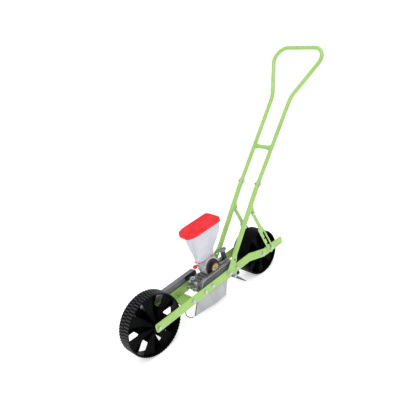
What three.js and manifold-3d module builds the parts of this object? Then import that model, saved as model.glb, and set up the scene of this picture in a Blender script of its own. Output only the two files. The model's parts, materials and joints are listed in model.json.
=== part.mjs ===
// Hand-pushed single-row seeder, in millimetres.
// +X is the machine's left, it is pushed towards -Y, and +Z is up with the ground at z = 0.
// Lengths along Y are stated from the front axle; the last lines move the model over its middle.
import * as THREE from 'three';
import { mergeVertices } from 'three/addons/utils/BufferGeometryUtils.js';
import Module from 'manifold-3d';

const wasm = await Module();
wasm.setup();

// ---- driving dimensions ----
const GAP = 0.3;
const RAIL = { outerX: 54.6, thickness: 4, height: 40, cornerRadius: 6 };
const RAIL_INNER_X = RAIL.outerX - RAIL.thickness;
const INSIDE_RAIL_X = RAIL_INNER_X - GAP;
const OUTSIDE_RAIL_X = RAIL.outerX + GAP;
const BOLT_HOLE = 4.3;
const BUSH_RADIUS = 8;

const FRONT_WHEEL = {
  radius: 140, width: 62, rim: 8, hubRadius: 17, hubWidth: 84, bore: 6.3,
  plateX: 21, plate: 3, spokes: 7, firstSpoke: 190, wallReach: 62, segments: 40,
};
const REAR_WHEEL = {
  radius: 108.8, width: 90, rim: 7, hubRadius: 18, hubWidth: 96, bore: 5.4,
  plateX: 35, plate: 3, spokes: 7, firstSpoke: 105, wallReach: 104, segments: 40,
};
const FRONT_AXLE = { y: 0, z: FRONT_WHEEL.radius, radius: 6 };
const REAR_AXLE = { y: 662, z: REAR_WHEEL.radius, radius: 5 };

// Centre line of a side rail, as [y, z].
const RAIL_LINE = [[-14, 140], [572, 140], [669, 108.6], [806, 105.1]];
const CROSS_BOLT = { y: 200, z: 138 };
const BODY_BOLTS = [{ y: 276, z: 138 }, { y: 322, z: 141 }];
const HANDLE_PIVOT = { y: 430, z: 141 };
const REAR_TIE = { y: 483, z: 140 };
const BRACE_PIN = { y: 720, z: 109.5 };
const TIP_HOLE = { y: 797, z: 106 };

// The front chain turns the layshaft. Its left end drives a second chain loop, whose level upper run
// turns the seed roller's star wheel from below, so the roller's height follows from the tooth counts.
const CHAIN_PITCH = 9.525;
const CHAIN_WIDTH = 7;
const FRONT_CHAIN_X = -66.2;
const METER_CHAIN_X = 40;
const FRONT_TEETH = 12;
const DRIVE_TEETH = 20;
const IDLER_TEETH = 9;
const STAR_TEETH = 14;
const pitchRadius = (teeth) => CHAIN_PITCH / (2 * Math.sin(Math.PI / teeth));
const LAYSHAFT = { y: 301.5, z: 152, radius: 5 };
const UPPER_RUN_Z = LAYSHAFT.z + pitchRadius(DRIVE_TEETH);
const IDLER = { y: 438, z: UPPER_RUN_Z - pitchRadius(IDLER_TEETH), pin: 4 };
const METER = {
  y: 369, z: UPPER_RUN_Z + pitchRadius(STAR_TEETH), radius: 40, wall: 3, right: -30, left: 22, shaft: 5,
};

const HOPPER = { bottom: 254.3, top: 404, wall: 2 };
const LID = { top: 420, nose: 11 };
const NECK = { front: 307, rear: 401, halfWidth: 20, top: 250.7 };
const OPENER = { tipY: 223, tipZ: 16, topZ: 118, rearY: 398, topRearY: 440, rearX: 33, plate: 2.5 };
const DEPTH_BOLT = { y: 410, z: 160 };
const LEVER_PIVOT = { x: 4, y: 461, z: 170 };
const COVER_BAR = { y: 461, z: 103, radius: 5 };

// Handle: lower leg from the pivot to the bend, then a sleeve in line with the upper tube.
const LOWER_TUBE_RADIUS = 11.3;
const UPPER_TUBE_RADIUS = 9.5;
const TUBE_WALL = 1.5;
const LEG_X = 50;
const LEG_BEND = new THREE.Vector3(LEG_X, 693.6, 431);
const GRIP_KINK = new THREE.Vector3(54, 1028.4, 757.3);
const GRIP_CORNER = new THREE.Vector3(167, 1224, 930);
const GRIP_RADIUS = 60;
const SLEEVE_LENGTH = 46;
const BRACE_TOP = { y: 646, z: 337 };
const BRACE = { x: 55.2, thickness: 3 };

// ---- materials ----
const paint = new THREE.MeshStandardMaterial({ color: 0x9ccc62, roughness: 0.42, metalness: 0.1 });
const castGrey = new THREE.MeshStandardMaterial({ color: 0x8c8f92, roughness: 0.5, metalness: 0.6 });
const guardGrey = new THREE.MeshStandardMaterial({ color: 0x75797d, roughness: 0.55, metalness: 0.0 });
const blackPlastic = new THREE.MeshStandardMaterial({ color: 0x17191a, roughness: 0.48, metalness: 0.0 });
const zincSteel = new THREE.MeshStandardMaterial({ color: 0xc4c8cc, roughness: 0.32, metalness: 0.95 });
const sheetSteel = new THREE.MeshStandardMaterial({ color: 0xadaeb3, roughness: 0.38, metalness: 0.85 });
const chainSteel = new THREE.MeshStandardMaterial({ color: 0x55585a, roughness: 0.45, metalness: 0.9 });
const yellowZinc = new THREE.MeshStandardMaterial({ color: 0xc9a266, roughness: 0.4, metalness: 0.8 });
const redPlastic = new THREE.MeshStandardMaterial({ color: 0xee2b33, roughness: 0.45, metalness: 0.0 });
const clearPlastic = new THREE.MeshStandardMaterial({
  color: 0xdfe3ea, roughness: 0.12, metalness: 0.0, transparent: true, opacity: 0.4,
});
const whitePlastic = new THREE.MeshStandardMaterial({ color: 0xe9e8e2, roughness: 0.5, metalness: 0.0 });

// ---- solids from geometries ----
function solidOf(geometry) {
  const bare = geometry.clone();
  bare.deleteAttribute('normal');
  bare.deleteAttribute('uv');
  const merged = mergeVertices(bare, 1e-4);
  return new wasm.Manifold(new wasm.Mesh({
    numProp: 3,
    vertProperties: new Float32Array(merged.attributes.position.array),
    triVerts: new Uint32Array(merged.index.array),
  }));
}

function geometryOf(solid) {
  const mesh = solid.getMesh();
  const geometry = new THREE.BufferGeometry();
  geometry.setAttribute('position', new THREE.BufferAttribute(new Float32Array(mesh.vertProperties), 3));
  geometry.setIndex(new THREE.BufferAttribute(new Uint32Array(mesh.triVerts), 1));
  geometry.computeVertexNormals();
  return geometry;
}

function joined(...solids) {
  return solids.reduce((all, solid) => all.add(solid));
}

function cut(solid, ...tools) {
  return tools.reduce((left, tool) => left.subtract(tool), solid);
}

function box([x0, x1], [y0, y1], [z0, z1]) {
  const geometry = new THREE.BoxGeometry(x1 - x0, y1 - y0, z1 - z0);
  return solidOf(geometry.translate((x0 + x1) / 2, (y0 + y1) / 2, (z0 + z1) / 2));
}

// A cylinder along X, with a corner of its outline straight down.
function cylinderX([x0, x1], { y, z }, radius, segments = 16) {
  const geometry = new THREE.CylinderGeometry(radius, radius, x1 - x0, segments);
  return solidOf(geometry.rotateZ(-Math.PI / 2).translate((x0 + x1) / 2, y, z));
}

function cylinderBetween(start, end, radius, segments = 12) {
  const axis = new THREE.Vector3().subVectors(end, start);
  const geometry = new THREE.CylinderGeometry(radius, radius, axis.length(), segments);
  const up = new THREE.Vector3(0, 1, 0);
  const turn = new THREE.Quaternion().setFromUnitVectors(up, axis.clone().normalize());
  const middle = new THREE.Vector3().addVectors(start, end).multiplyScalar(0.5);
  return solidOf(geometry.applyQuaternion(turn).translate(middle.x, middle.y, middle.z));
}

// Turns a profile drawn as (y, z) and extruded along w into a plate whose thickness lies along X.
const PROFILE_TO_X = new THREE.Matrix4().makeBasis(
  new THREE.Vector3(0, 1, 0), new THREE.Vector3(0, 0, 1), new THREE.Vector3(1, 0, 0),
);

function plateX(shape, [x0, x1], curveSegments = 6) {
  const geometry = new THREE.ExtrudeGeometry(shape, { depth: x1 - x0, bevelEnabled: false, curveSegments });
  return solidOf(geometry.applyMatrix4(PROFILE_TO_X).translate(x0, 0, 0));
}

function polygon(points) {
  const corners = points.map(([y, z]) => new THREE.Vector2(y, z));
  return new THREE.Shape(THREE.ShapeUtils.isClockWise(corners) ? corners.reverse() : corners);
}

function holeAt({ y, z }, radius) {
  return new THREE.Path().absarc(y, z, radius, 0, 2 * Math.PI, true);
}

// The outline around two circles: two arcs joined by their outer tangents.
function loopOutline(a, radiusA, b, radiusB) {
  const heading = Math.atan2(b.z - a.z, b.y - a.y);
  const spread = Math.acos((radiusA - radiusB) / Math.hypot(b.y - a.y, b.z - a.z));
  const outline = new THREE.Shape();
  outline.absarc(a.y, a.z, radiusA, heading + spread, heading - spread + 2 * Math.PI, false);
  outline.absarc(b.y, b.z, radiusB, heading - spread, heading + spread, false);
  outline.closePath();
  return outline;
}

function toRadians(degrees) {
  return degrees * Math.PI / 180;
}

// ---- scene graph ----
const model = new THREE.Group();

function place(name, solid, material, position = [0, 0, 0], rotation = [0, 0, 0]) {
  const mesh = new THREE.Mesh(geometryOf(solid), material);
  mesh.name = name;
  mesh.position.set(...position);
  mesh.rotation.set(...rotation);
  model.add(mesh);
}

// Places one copy on each side; the right-hand copy is turned half round about Z.
function placeBothSides(name, solid, material, [x, y, z]) {
  place(`${name}_left`, solid, material, [x, y, z]);
  place(`${name}_right`, solid, material, [-x, y, z], [0, 0, Math.PI]);
}

// ---- fasteners ----
const HEX = { radius: 7.5, head: 5.3, nut: 4, washerRadius: 8.8, washer: 1.4 };

function hexagon([x0, x1], radius = HEX.radius) {
  return cylinderX([x0, x1], { y: 0, z: 0 }, radius, 6);
}

// A bolt along X: nut face at x = 0, underside of the head's washer at x = grip.
function bolt(grip, radius = 4) {
  const origin = { y: 0, z: 0 };
  return joined(
    cylinderX([-HEX.nut - 1, grip + 1], origin, radius, 8),
    hexagon([-HEX.nut, 0]),
    cylinderX([grip, grip + HEX.washer], origin, HEX.washerRadius, 10),
    hexagon([grip + HEX.washer, grip + HEX.washer + HEX.head]),
  );
}

// A rod across the machine with a nut at each end, whose inner faces are halfGrip from the middle.
function tieRod(halfGrip, radius = 4) {
  const origin = { y: 0, z: 0 };
  const ends = [-1, 1].map((side) => {
    const inner = side * halfGrip;
    const outer = side * (halfGrip + HEX.head + HEX.washer);
    const washerEnd = side * (halfGrip + HEX.washer);
    return joined(
      cylinderX([inner, washerEnd].sort((p, q) => p - q), origin, HEX.washerRadius, 10),
      hexagon([inner, outer].sort((p, q) => p - q)),
    );
  });
  const tail = halfGrip + HEX.head + HEX.washer + 0.6;
  return joined(cylinderX([-tail, tail], origin, radius, 10), ...ends);
}

// ---- frame ----
// Offsets a centre line sideways with mitred corners.
function offsetLine(line, distance) {
  return line.map(([y, z], i) => {
    const before = line[Math.max(i - 1, 0)];
    const after = line[Math.min(i + 1, line.length - 1)];
    const into = new THREE.Vector2(y - before[0], z - before[1]);
    const out = new THREE.Vector2(after[0] - y, after[1] - z);
    if (i === 0) into.copy(out);
    if (i === line.length - 1) out.copy(into);
    const tangent = into.normalize().clone().add(out.normalize()).normalize();
    const stretch = distance / tangent.dot(out);
    return [y - tangent.y * stretch, z + tangent.x * stretch];
  });
}

// The points round one end of a bar, from the side first-second over the end to third-fourth.
function chamferedEnd([first, second], [third, fourth], size) {
  const stepFrom = (a, b) => new THREE.Vector2(b[0] - a[0], b[1] - a[1]).setLength(size);
  const along = stepFrom(first, second);
  const across = stepFrom(second, third);
  return [
    [second[0] - along.x, second[1] - along.y],
    [second[0] + across.x, second[1] + across.y],
    [third[0] - across.x, third[1] - across.y],
    [third[0] - along.x, third[1] - along.y],
    fourth,
  ];
}

function makeRail(extraHoles) {
  const upper = offsetLine(RAIL_LINE, RAIL.height / 2);
  const lower = offsetLine(RAIL_LINE, -RAIL.height / 2);
  const last = RAIL_LINE.length - 1;
  const corner = RAIL.cornerRadius;
  const rearEnd = chamferedEnd([upper[last - 1], upper[last]], [lower[last], lower[last - 1]], corner);
  const frontEnd = chamferedEnd([lower[1], lower[0]], [upper[0], upper[1]], corner);
  const belowBends = lower.slice(1, last - 1).reverse();
  const shape = polygon([...upper.slice(1, last), ...rearEnd, ...belowBends, ...frontEnd.slice(0, 4)]);
  const boltHoles = [CROSS_BOLT, ...BODY_BOLTS, HANDLE_PIVOT, REAR_TIE, BRACE_PIN, TIP_HOLE];
  shape.holes.push(
    holeAt(FRONT_AXLE, BUSH_RADIUS + GAP), holeAt(REAR_AXLE, REAR_AXLE.radius + GAP),
    ...boltHoles.map((at) => holeAt(at, BOLT_HOLE)), ...extraHoles,
  );
  return plateX(shape, [0, RAIL.thickness], 6);
}

place('rail_left', makeRail([]), paint, [RAIL_INNER_X, 0, 0]);
place('rail_right', makeRail([holeAt(LAYSHAFT, 6.8)]), paint, [-RAIL.outerX, 0, 0]);

function makeCrossPlate() {
  const reach = INSIDE_RAIL_X;
  const floorZ = [119, 122];
  const lengthY = [165, 231];
  const flange = 3;
  const tray = joined(
    box([-reach, reach], lengthY, floorZ),
    box([reach - flange, reach], lengthY, [floorZ[0], 158]),
    box([-reach, -reach + flange], lengthY, [floorZ[0], 158]),
  );
  return cut(tray, cylinderX([-60, 60], CROSS_BOLT, BOLT_HOLE, 12));
}

const FLANGE_INNER_X = INSIDE_RAIL_X - 3 - GAP;
place('cross_plate', makeCrossPlate(), paint);
const crossBolt = bolt(OUTSIDE_RAIL_X - FLANGE_INNER_X);
placeBothSides('cross_plate_bolt', crossBolt, zincSteel, [FLANGE_INNER_X, CROSS_BOLT.y, CROSS_BOLT.z]);

// The rod that carries the handle's legs, and the tie at the back of the frame.
const LEG_PADDLE = { inner: OUTSIDE_RAIL_X, thickness: 4.4, halfWidth: 18 };
const PADDLE_OUTER_X = LEG_PADDLE.inner + LEG_PADDLE.thickness;
place('handle_pivot_rod', tieRod(PADDLE_OUTER_X + GAP), zincSteel, [0, HANDLE_PIVOT.y, HANDLE_PIVOT.z]);
const rearTie = joined(tieRod(OUTSIDE_RAIL_X), cylinderX([-46, 46], { y: 0, z: 0 }, 7.5));
place('rear_tie_rod', rearTie, zincSteel, [0, REAR_TIE.y, REAR_TIE.z]);
place('rear_axle', tieRod(OUTSIDE_RAIL_X, REAR_AXLE.radius), zincSteel, [0, REAR_AXLE.y, REAR_AXLE.z]);

// ---- wheels, each around its own centre ----
function wheelSector({ hubRadius, radius, rim }, middle, span) {
  const outer = radius - rim / 2;
  const inner = hubRadius * 0.8;
  const start = middle - span / 2;
  const end = middle + span / 2;
  const steps = 3;
  const shape = new THREE.Shape();
  shape.moveTo(Math.cos(start) * inner, Math.sin(start) * inner);
  for (let i = 0; i <= steps; i += 1) {
    const angle = start + span * i / steps;
    shape.lineTo(Math.cos(angle) * outer, Math.sin(angle) * outer);
  }
  shape.lineTo(Math.cos(end) * inner, Math.sin(end) * inner);
  return shape;
}

// Sectors lie by turns on the two sides, joined by walls along X that reach wallReach from the axle.
function makeWheel(wheel) {
  const { radius, width, rim, hubRadius, hubWidth, bore, plateX: offset, plate, spokes, wallReach } = wheel;
  const centre = { y: 0, z: 0 };
  const half = width / 2;
  const tyre = cut(
    cylinderX([-half, half], centre, radius, wheel.segments),
    cylinderX([-half - 1, half + 1], centre, radius - rim, wheel.segments),
  );
  const pieces = [tyre, cylinderX([-hubWidth / 2, hubWidth / 2], centre, hubRadius)];
  const step = Math.PI / spokes;
  for (let i = 0; i < 2 * spokes; i += 1) {
    const middle = toRadians(wheel.firstSpoke) + i * step;
    const side = i % 2 === 0 ? 1 : -1;
    const faces = [side * offset - plate / 2, side * offset + plate / 2];
    const wall = new THREE.BoxGeometry(2 * offset + plate, wallReach, plate);
    wall.translate(0, wallReach / 2, 0).rotateX(middle + step / 2);
    pieces.push(plateX(wheelSector(wheel, middle, step), faces), solidOf(wall));
  }
  return cut(joined(...pieces), cylinderX([-hubWidth, hubWidth], centre, bore));
}

place('front_wheel', makeWheel(FRONT_WHEEL), blackPlastic, [0, FRONT_AXLE.y, FRONT_AXLE.z]);
place('rear_wheel', makeWheel(REAR_WHEEL), blackPlastic, [0, REAR_AXLE.y, REAR_AXLE.z]);

// ---- axles, bushes, sprockets and chains ----
// A toothed wheel with its hub, around the middle of its teeth at the given x.
function makeSprocket(x, teeth, bore, hubRadius, toothHeight = 3) {
  const centre = { y: 0, z: 0 };
  const rootRadius = pitchRadius(teeth) - 2.6;
  const tipRadius = pitchRadius(teeth) + toothHeight;
  const tooth = [[rootRadius, -0.35], [tipRadius, -0.1], [tipRadius, 0.1], [rootRadius, 0.35]];
  const outline = [];
  for (let i = 0; i < teeth; i += 1) {
    for (const [radius, turn] of tooth) {
      const angle = 2 * Math.PI * (i + turn) / teeth;
      outline.push([Math.cos(angle) * radius, Math.sin(angle) * radius]);
    }
  }
  const wheel = plateX(polygon(outline), [x - 1.6, x + 1.6]);
  const hub = cylinderX([x - 3.2, x + 3.2], centre, hubRadius);
  return cut(joined(wheel, hub), cylinderX([x - 9, x + 9], centre, bore, 12));
}

// A chain as one closed loop, hollow inside for the sprockets' teeth.
function makeChain(a, teethA, b, teethB) {
  const loop = (offset) => loopOutline(a, pitchRadius(teethA) + offset, b, pitchRadius(teethB) + offset);
  const band = loop(4.1);
  band.holes.push(loop(-3.4));
  return cut(plateX(band, [-CHAIN_WIDTH / 2, CHAIN_WIDTH / 2], 7), plateX(loop(3.4), [-2.3, 2.3], 7));
}

// A shaft with collars, each collar as [x0, x1, radius].
function makeShaft([x0, x1], radius, collars) {
  const centre = { y: 0, z: 0 };
  const rings = collars.map(
    ([start, end, collar, sides = 16]) => cylinderX([start, end], centre, collar, sides),
  );
  return joined(cylinderX([x0, x1], centre, radius, 12), ...rings);
}

function makeBush(bore, radius) {
  const centre = { y: 0, z: 0 };
  const body = joined(
    cylinderX([-1, RAIL.thickness + 1.5 * GAP], centre, radius),
    cylinderX([-4, 0], centre, radius + 3),
  );
  return cut(body, cylinderX([-5, 9], centre, bore));
}

const frontAxle = makeShaft([FRONT_CHAIN_X - 10, RAIL.outerX + 8.5], FRONT_AXLE.radius, [
  [FRONT_CHAIN_X - 9, FRONT_CHAIN_X - 3.5, HEX.radius, 6],
  [RAIL.outerX + 1.5, RAIL.outerX + 7.5, HEX.radius, 6],
]);
const frontSprocket = makeSprocket(FRONT_CHAIN_X, FRONT_TEETH, FRONT_AXLE.radius - 1, 11);
place('front_axle', joined(frontAxle, frontSprocket), zincSteel, [0, FRONT_AXLE.y, FRONT_AXLE.z]);
const axleBush = makeBush(FRONT_AXLE.radius + GAP, BUSH_RADIUS);
placeBothSides('front_axle_bush', axleBush, whitePlastic, [INSIDE_RAIL_X, FRONT_AXLE.y, FRONT_AXLE.z]);

const layshaft = makeShaft([FRONT_CHAIN_X - 9, METER_CHAIN_X + 3.6], LAYSHAFT.radius, [
  [FRONT_CHAIN_X - 8, FRONT_CHAIN_X - 3.5, HEX.radius, 6],
]);
const drivenSprocket = makeSprocket(FRONT_CHAIN_X, FRONT_TEETH, LAYSHAFT.radius - 1, 9);
const drivingSprocket = makeSprocket(METER_CHAIN_X, DRIVE_TEETH, LAYSHAFT.radius - 1, 9);
place('layshaft', joined(layshaft, drivenSprocket, drivingSprocket), zincSteel, [0, LAYSHAFT.y, LAYSHAFT.z]);
place(
  'layshaft_bush', makeBush(LAYSHAFT.radius + GAP, 6.5), whitePlastic,
  [-INSIDE_RAIL_X, LAYSHAFT.y, LAYSHAFT.z], [0, 0, Math.PI],
);
const idler = makeSprocket(0, IDLER_TEETH, IDLER.pin + GAP, 8);
place('idler_sprocket', idler, zincSteel, [METER_CHAIN_X, IDLER.y, IDLER.z]);
const frontChain = makeChain(FRONT_AXLE, FRONT_TEETH, LAYSHAFT, FRONT_TEETH);
place('front_chain', frontChain, chainSteel, [FRONT_CHAIN_X, 0, 0]);

// The second chain is open above its rollers where the star wheel's teeth dip in.
const starWindow = box([-2.3, 2.3], [METER.y - 22, METER.y + 22], [UPPER_RUN_Z - 6, UPPER_RUN_Z + 6]);
const meterChain = makeChain(LAYSHAFT, DRIVE_TEETH, IDLER, IDLER_TEETH).subtract(starWindow);
place('meter_chain', meterChain, chainSteel, [METER_CHAIN_X, 0, 0]);

// ---- chain guard outside the right rail, open towards the rail ----
function roundedBar([y0, y1], [z0, z1], frontRadius, rearRadius) {
  const shape = new THREE.Shape();
  shape.absarc(y0 + frontRadius, z0 + frontRadius, frontRadius, Math.PI, 1.5 * Math.PI, false);
  shape.absarc(y1 - rearRadius, z0 + rearRadius, rearRadius, -0.5 * Math.PI, 0, false);
  shape.absarc(y1 - rearRadius, z1 - rearRadius, rearRadius, 0, 0.5 * Math.PI, false);
  shape.absarc(y0 + frontRadius, z1 - frontRadius, frontRadius, 0.5 * Math.PI, Math.PI, false);
  return shape;
}

// A shell with its inner wall only above the rail, and open at the top behind the layshaft.
function makeChainGuard() {
  const wall = 2.5;
  const near = -57;
  const far = -80;
  const wallFrom = 161;
  const wallEnd = 262;
  const outline = (inset) => roundedBar(
    [-34 + inset, 334 - inset], [112 + inset, 187 - inset], 34 - inset, 13 - inset,
  );
  const shell = plateX(outline(0), [far, near], 5);
  const inside = plateX(outline(wall), [far + wall, near - wall], 5);
  const openSide = plateX(outline(wall), [near - wall - 1, near + 1], 5);
  const besideRail = box([near - 9, near + 2], [-60, 360], [100, wallFrom]);
  const behindShaft = box([near - 9, near + 2], [wallEnd, 360], [wallFrom - 1, 200]);
  const lug = cylinderX([far + 1, near], { y: 165, z: 150 }, 6);
  return joined(cut(shell, inside, openSide.intersect(joined(besideRail, behindShaft))), lug);
}

place('chain_guard', makeChainGuard(), guardGrey);

// ---- metering unit ----
const BASE = { right: -34, left: 32 };

function makeMeterBase() {
  const throughHoles = [
    cylinderX([-60, 60], METER, METER.radius + 2.5, 32),
    cylinderX([-60, 60], LAYSHAFT, LAYSHAFT.radius + GAP, 12),
    cylinderX([-60, 60], HANDLE_PIVOT, 5, 12),
    box([-9, 9], [356, 378], [100, 190]),
    box([-3.4, 3.4], [401.6, 418.4], [100, 190]),
    cylinderX([-60, 0], DEPTH_BOLT, 4.4, 12),
    box([-5.5, 13.5], [446, 490], [157, 190]),
    cylinderX([-24, 40], LEVER_PIVOT, 3.4, 12),
    cylinderBetween(new THREE.Vector3(-4, 268, 170), new THREE.Vector3(-4, 268, 200), 4),
  ];
  const body = joined(
    box([BASE.right, BASE.left], [264, 436], [126, 170]),
    box([-20, BASE.left], [405, 475], [150, 180]),
    cylinderX([-28, 30], { y: 262, z: 150 }, 14),
    cylinderBetween(new THREE.Vector3(-4, 268, 150), new THREE.Vector3(-4, 268, 195), 11),
    cylinderBetween(new THREE.Vector3(22, 258, 150), new THREE.Vector3(22, 258, 184), 8),
    ...BODY_BOLTS.map((at) => cylinderX([-INSIDE_RAIL_X, BASE.right + 4], at, 9)),
  );
  return cut(body, ...throughHoles, ...BODY_BOLTS.map((at) => cylinderX([-60, -37], at, BOLT_HOLE, 12)));
}

place('meter_base', makeMeterBase(), castGrey);

// A screw along -X: its head's washer starts at x = 0 and its shank runs inwards.
function makeScrew(length) {
  const centre = { y: 0, z: 0 };
  return joined(
    cylinderX([-length, 1], centre, 4, 8),
    cylinderX([0, HEX.washer], centre, HEX.washerRadius, 10),
    hexagon([HEX.washer, HEX.washer + HEX.head]),
  );
}

BODY_BOLTS.forEach(({ y, z }, i) => {
  place(`body_bolt_left_${i + 1}`, makeScrew(7.6), zincSteel, [OUTSIDE_RAIL_X, y, z]);
  place(`body_bolt_right_${i + 1}`, makeScrew(17), zincSteel, [-OUTSIDE_RAIL_X, y, z], [0, 0, Math.PI]);
});

// Ribbed clear drum around the seed roller, with the neck that the hopper stands on.
function makeRollerHousing() {
  const { right, left, radius, wall, y, z } = METER;
  const neckX = [-NECK.halfWidth, NECK.halfWidth];
  const slope = (inset) => polygon([
    [y - radius + 6 + inset, z - 12], [y, z], [y, z + 24], [NECK.front + inset, z + 24],
  ]);
  const ribs = [-25, -15, -5, 5, 15].map((x) => cylinderX([x - 1, x + 1], METER, radius + 2, 24));
  const drum = joined(
    cylinderX([right, left], METER, radius, 24),
    box(neckX, [NECK.front, NECK.rear], [z + 20, NECK.top]),
    plateX(slope(0), neckX),
    ...ribs,
  );
  const insideX = [neckX[0] + wall, neckX[1] - wall];
  const inside = joined(
    cylinderX([right + wall, left + 1], METER, radius - wall, 24),
    box(insideX, [NECK.front + wall, NECK.rear - wall], [z + 22, NECK.top + 1]),
    plateX(slope(wall), insideX),
  );
  return cut(
    drum,
    inside,
    cylinderX([-60, 0], METER, METER.shaft + GAP, 12),
    box([-9, 9], [356, 378], [150, 176]),
    cylinderBetween(new THREE.Vector3(-4, 290, 238), new THREE.Vector3(-4, 318, 238), 3.4),
  );
}

place('roller_housing', makeRollerHousing(), clearPlastic);

function makeSeedRoller() {
  const centre = { y: 0, z: 0 };
  const radius = METER.radius - METER.wall - 1.5;
  const pockets = 8;
  let roller = cylinderX([-12, 12], centre, radius, 24);
  for (let i = 0; i < pockets; i += 1) {
    const angle = 2 * Math.PI * (i + 0.5) / pockets;
    const rim = new THREE.Vector3(0, Math.cos(angle), Math.sin(angle));
    const deep = rim.clone().multiplyScalar(radius - 3);
    const high = rim.clone().multiplyScalar(radius + 3);
    roller = roller.subtract(cylinderBetween(deep, high, 2.5, 6));
  }
  return cut(roller, cylinderX([-30, 30], centre, METER.shaft + GAP, 12));
}

const meterAt = (x) => [x, METER.y, METER.z];
const CAP = { start: METER.left + GAP, plate: 4, step: 6.5 };
const rollerShaft = makeShaft([-34, METER_CHAIN_X + 6.5], METER.shaft, [
  [CAP.start + CAP.step + GAP, METER_CHAIN_X - 3.5, 9],
  [METER_CHAIN_X + 3.5, METER_CHAIN_X + 6, HEX.radius, 6],
]);
place('seed_roller', makeSeedRoller(), whitePlastic, meterAt(0));
place('roller_shaft', rollerShaft, zincSteel, meterAt(0));
const starWheel = makeSprocket(0, STAR_TEETH, METER.shaft + GAP, 8, 1.5);
place('roller_sprocket', starWheel, yellowZinc, meterAt(METER_CHAIN_X));

function makeEndCap() {
  const centre = { y: 0, z: 0 };
  const cap = joined(cylinderX([0, CAP.plate], centre, 38, 24), cylinderX([1, CAP.step], centre, 30, 24));
  return cut(cap, cylinderX([-1, 8], centre, METER.shaft + GAP, 12));
}

place('roller_end_cap', makeEndCap(), blackPlastic, meterAt(CAP.start));

function makeBrush() {
  const backing = box([-14, 12], [389, 397.5], [244, 250]);
  const bristles = box([-12, 11], [390, 396], [240, 245]);
  return joined(backing, bristles);
}

place('seed_brush', makeBrush(), blackPlastic);

function makeSeedChute() {
  const outer = box([-8, 8], [357, 377], [52, 125.6]);
  const flange = box([-14, 14], [354, 380], [122.6, 125.6]);
  return cut(joined(outer, flange), box([-6, 6], [359, 375], [50, 127]));
}

place('seed_chute', makeSeedChute(), whitePlastic);

// ---- hopper: a tapering tub whose back bulges out ----
// Half widths and the front and rear edge at a height given as a share of the hopper's own.
function hopperSection(share) {
  const eased = THREE.MathUtils.smoothstep(share, 0.05, 0.85);
  return {
    halfWidth: THREE.MathUtils.lerp(20, 41, eased),
    front: THREE.MathUtils.lerp(309, 284, share),
    rear: THREE.MathUtils.lerp(399, 456, eased),
  };
}

// Outline of unit half size, round at the front (-Y) and nearly square at the back.
function hopperOutline() {
  const shape = new THREE.Shape();
  shape.moveTo(0.62, 1);
  shape.bezierCurveTo(0.9, 1, 1, 0.94, 1, 0.84);
  shape.lineTo(1, -0.45);
  shape.bezierCurveTo(1, -0.8, 0.7, -1, 0.3, -1);
  shape.lineTo(-0.3, -1);
  shape.bezierCurveTo(-0.7, -1, -1, -0.8, -1, -0.45);
  shape.lineTo(-1, 0.84);
  shape.bezierCurveTo(-1, 0.94, -0.9, 1, -0.62, 1);
  return shape;
}

function hopperSolid([z0, z1], inset, rows, nose = 0) {
  const geometry = new THREE.ExtrudeGeometry(
    hopperOutline(), { depth: 1, steps: rows, bevelEnabled: false, curveSegments: 3 },
  );
  const points = geometry.attributes.position;
  for (let i = 0; i < points.count; i += 1) {
    const z = THREE.MathUtils.lerp(z0, z1, points.getZ(i));
    const share = THREE.MathUtils.clamp((z - HOPPER.bottom) / (HOPPER.top - HOPPER.bottom), 0, 1);
    const { halfWidth, front, rear } = hopperSection(share);
    const middle = (front - nose + rear) / 2;
    const halfLength = (rear - front + nose) / 2;
    points.setXYZ(i, points.getX(i) * (halfWidth - inset), middle + points.getY(i) * (halfLength - inset), z);
  }
  return solidOf(geometry);
}

function makeHopper() {
  const tub = hopperSolid([HOPPER.bottom, HOPPER.top], 0, 6);
  const inside = hopperSolid([HOPPER.bottom - 1, HOPPER.top + 1], HOPPER.wall, 6);
  return cut(tub, inside);
}

function makeLid() {
  const skirt = hopperSolid([HOPPER.top - 5, LID.top - 2.5], -4.5, 1, LID.nose);
  const crown = hopperSolid([LID.top - 3, LID.top], -2, 1, LID.nose);
  const rimGroove = hopperSolid([HOPPER.top - 6, HOPPER.top + GAP], -0.6, 1);
  return cut(joined(skirt, crown), rimGroove);
}

function makeGasket() {
  const thickness = [NECK.top + GAP, HOPPER.bottom - GAP];
  const ring = box([-NECK.halfWidth, NECK.halfWidth], [NECK.front, NECK.rear], thickness);
  return cut(ring, box([-16, 16], [NECK.front + 4, NECK.rear - 4], [240, 260]));
}

place('hopper', makeHopper(), clearPlastic);
place('hopper_lid', makeLid(), redPlastic);
place('hopper_gasket', makeGasket(), redPlastic);

function makeLatch() {
  const knob = cylinderBetween(new THREE.Vector3(-4, 288, 238), new THREE.Vector3(-4, 302, 238), 9, 16);
  const stem = cylinderBetween(new THREE.Vector3(-4, 300, 238), new THREE.Vector3(-4, 312, 238), 3);
  return joined(knob, stem);
}

place('hopper_latch', makeLatch(), redPlastic);

// ---- closed case around the second chain, between the base and the left rail ----
const CASE = {
  inner: 33, outer: 46.5, wall: 2.5, front: 262, rear: 466, middle: 150, radius: 40, rearRadius: 24,
};

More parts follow.
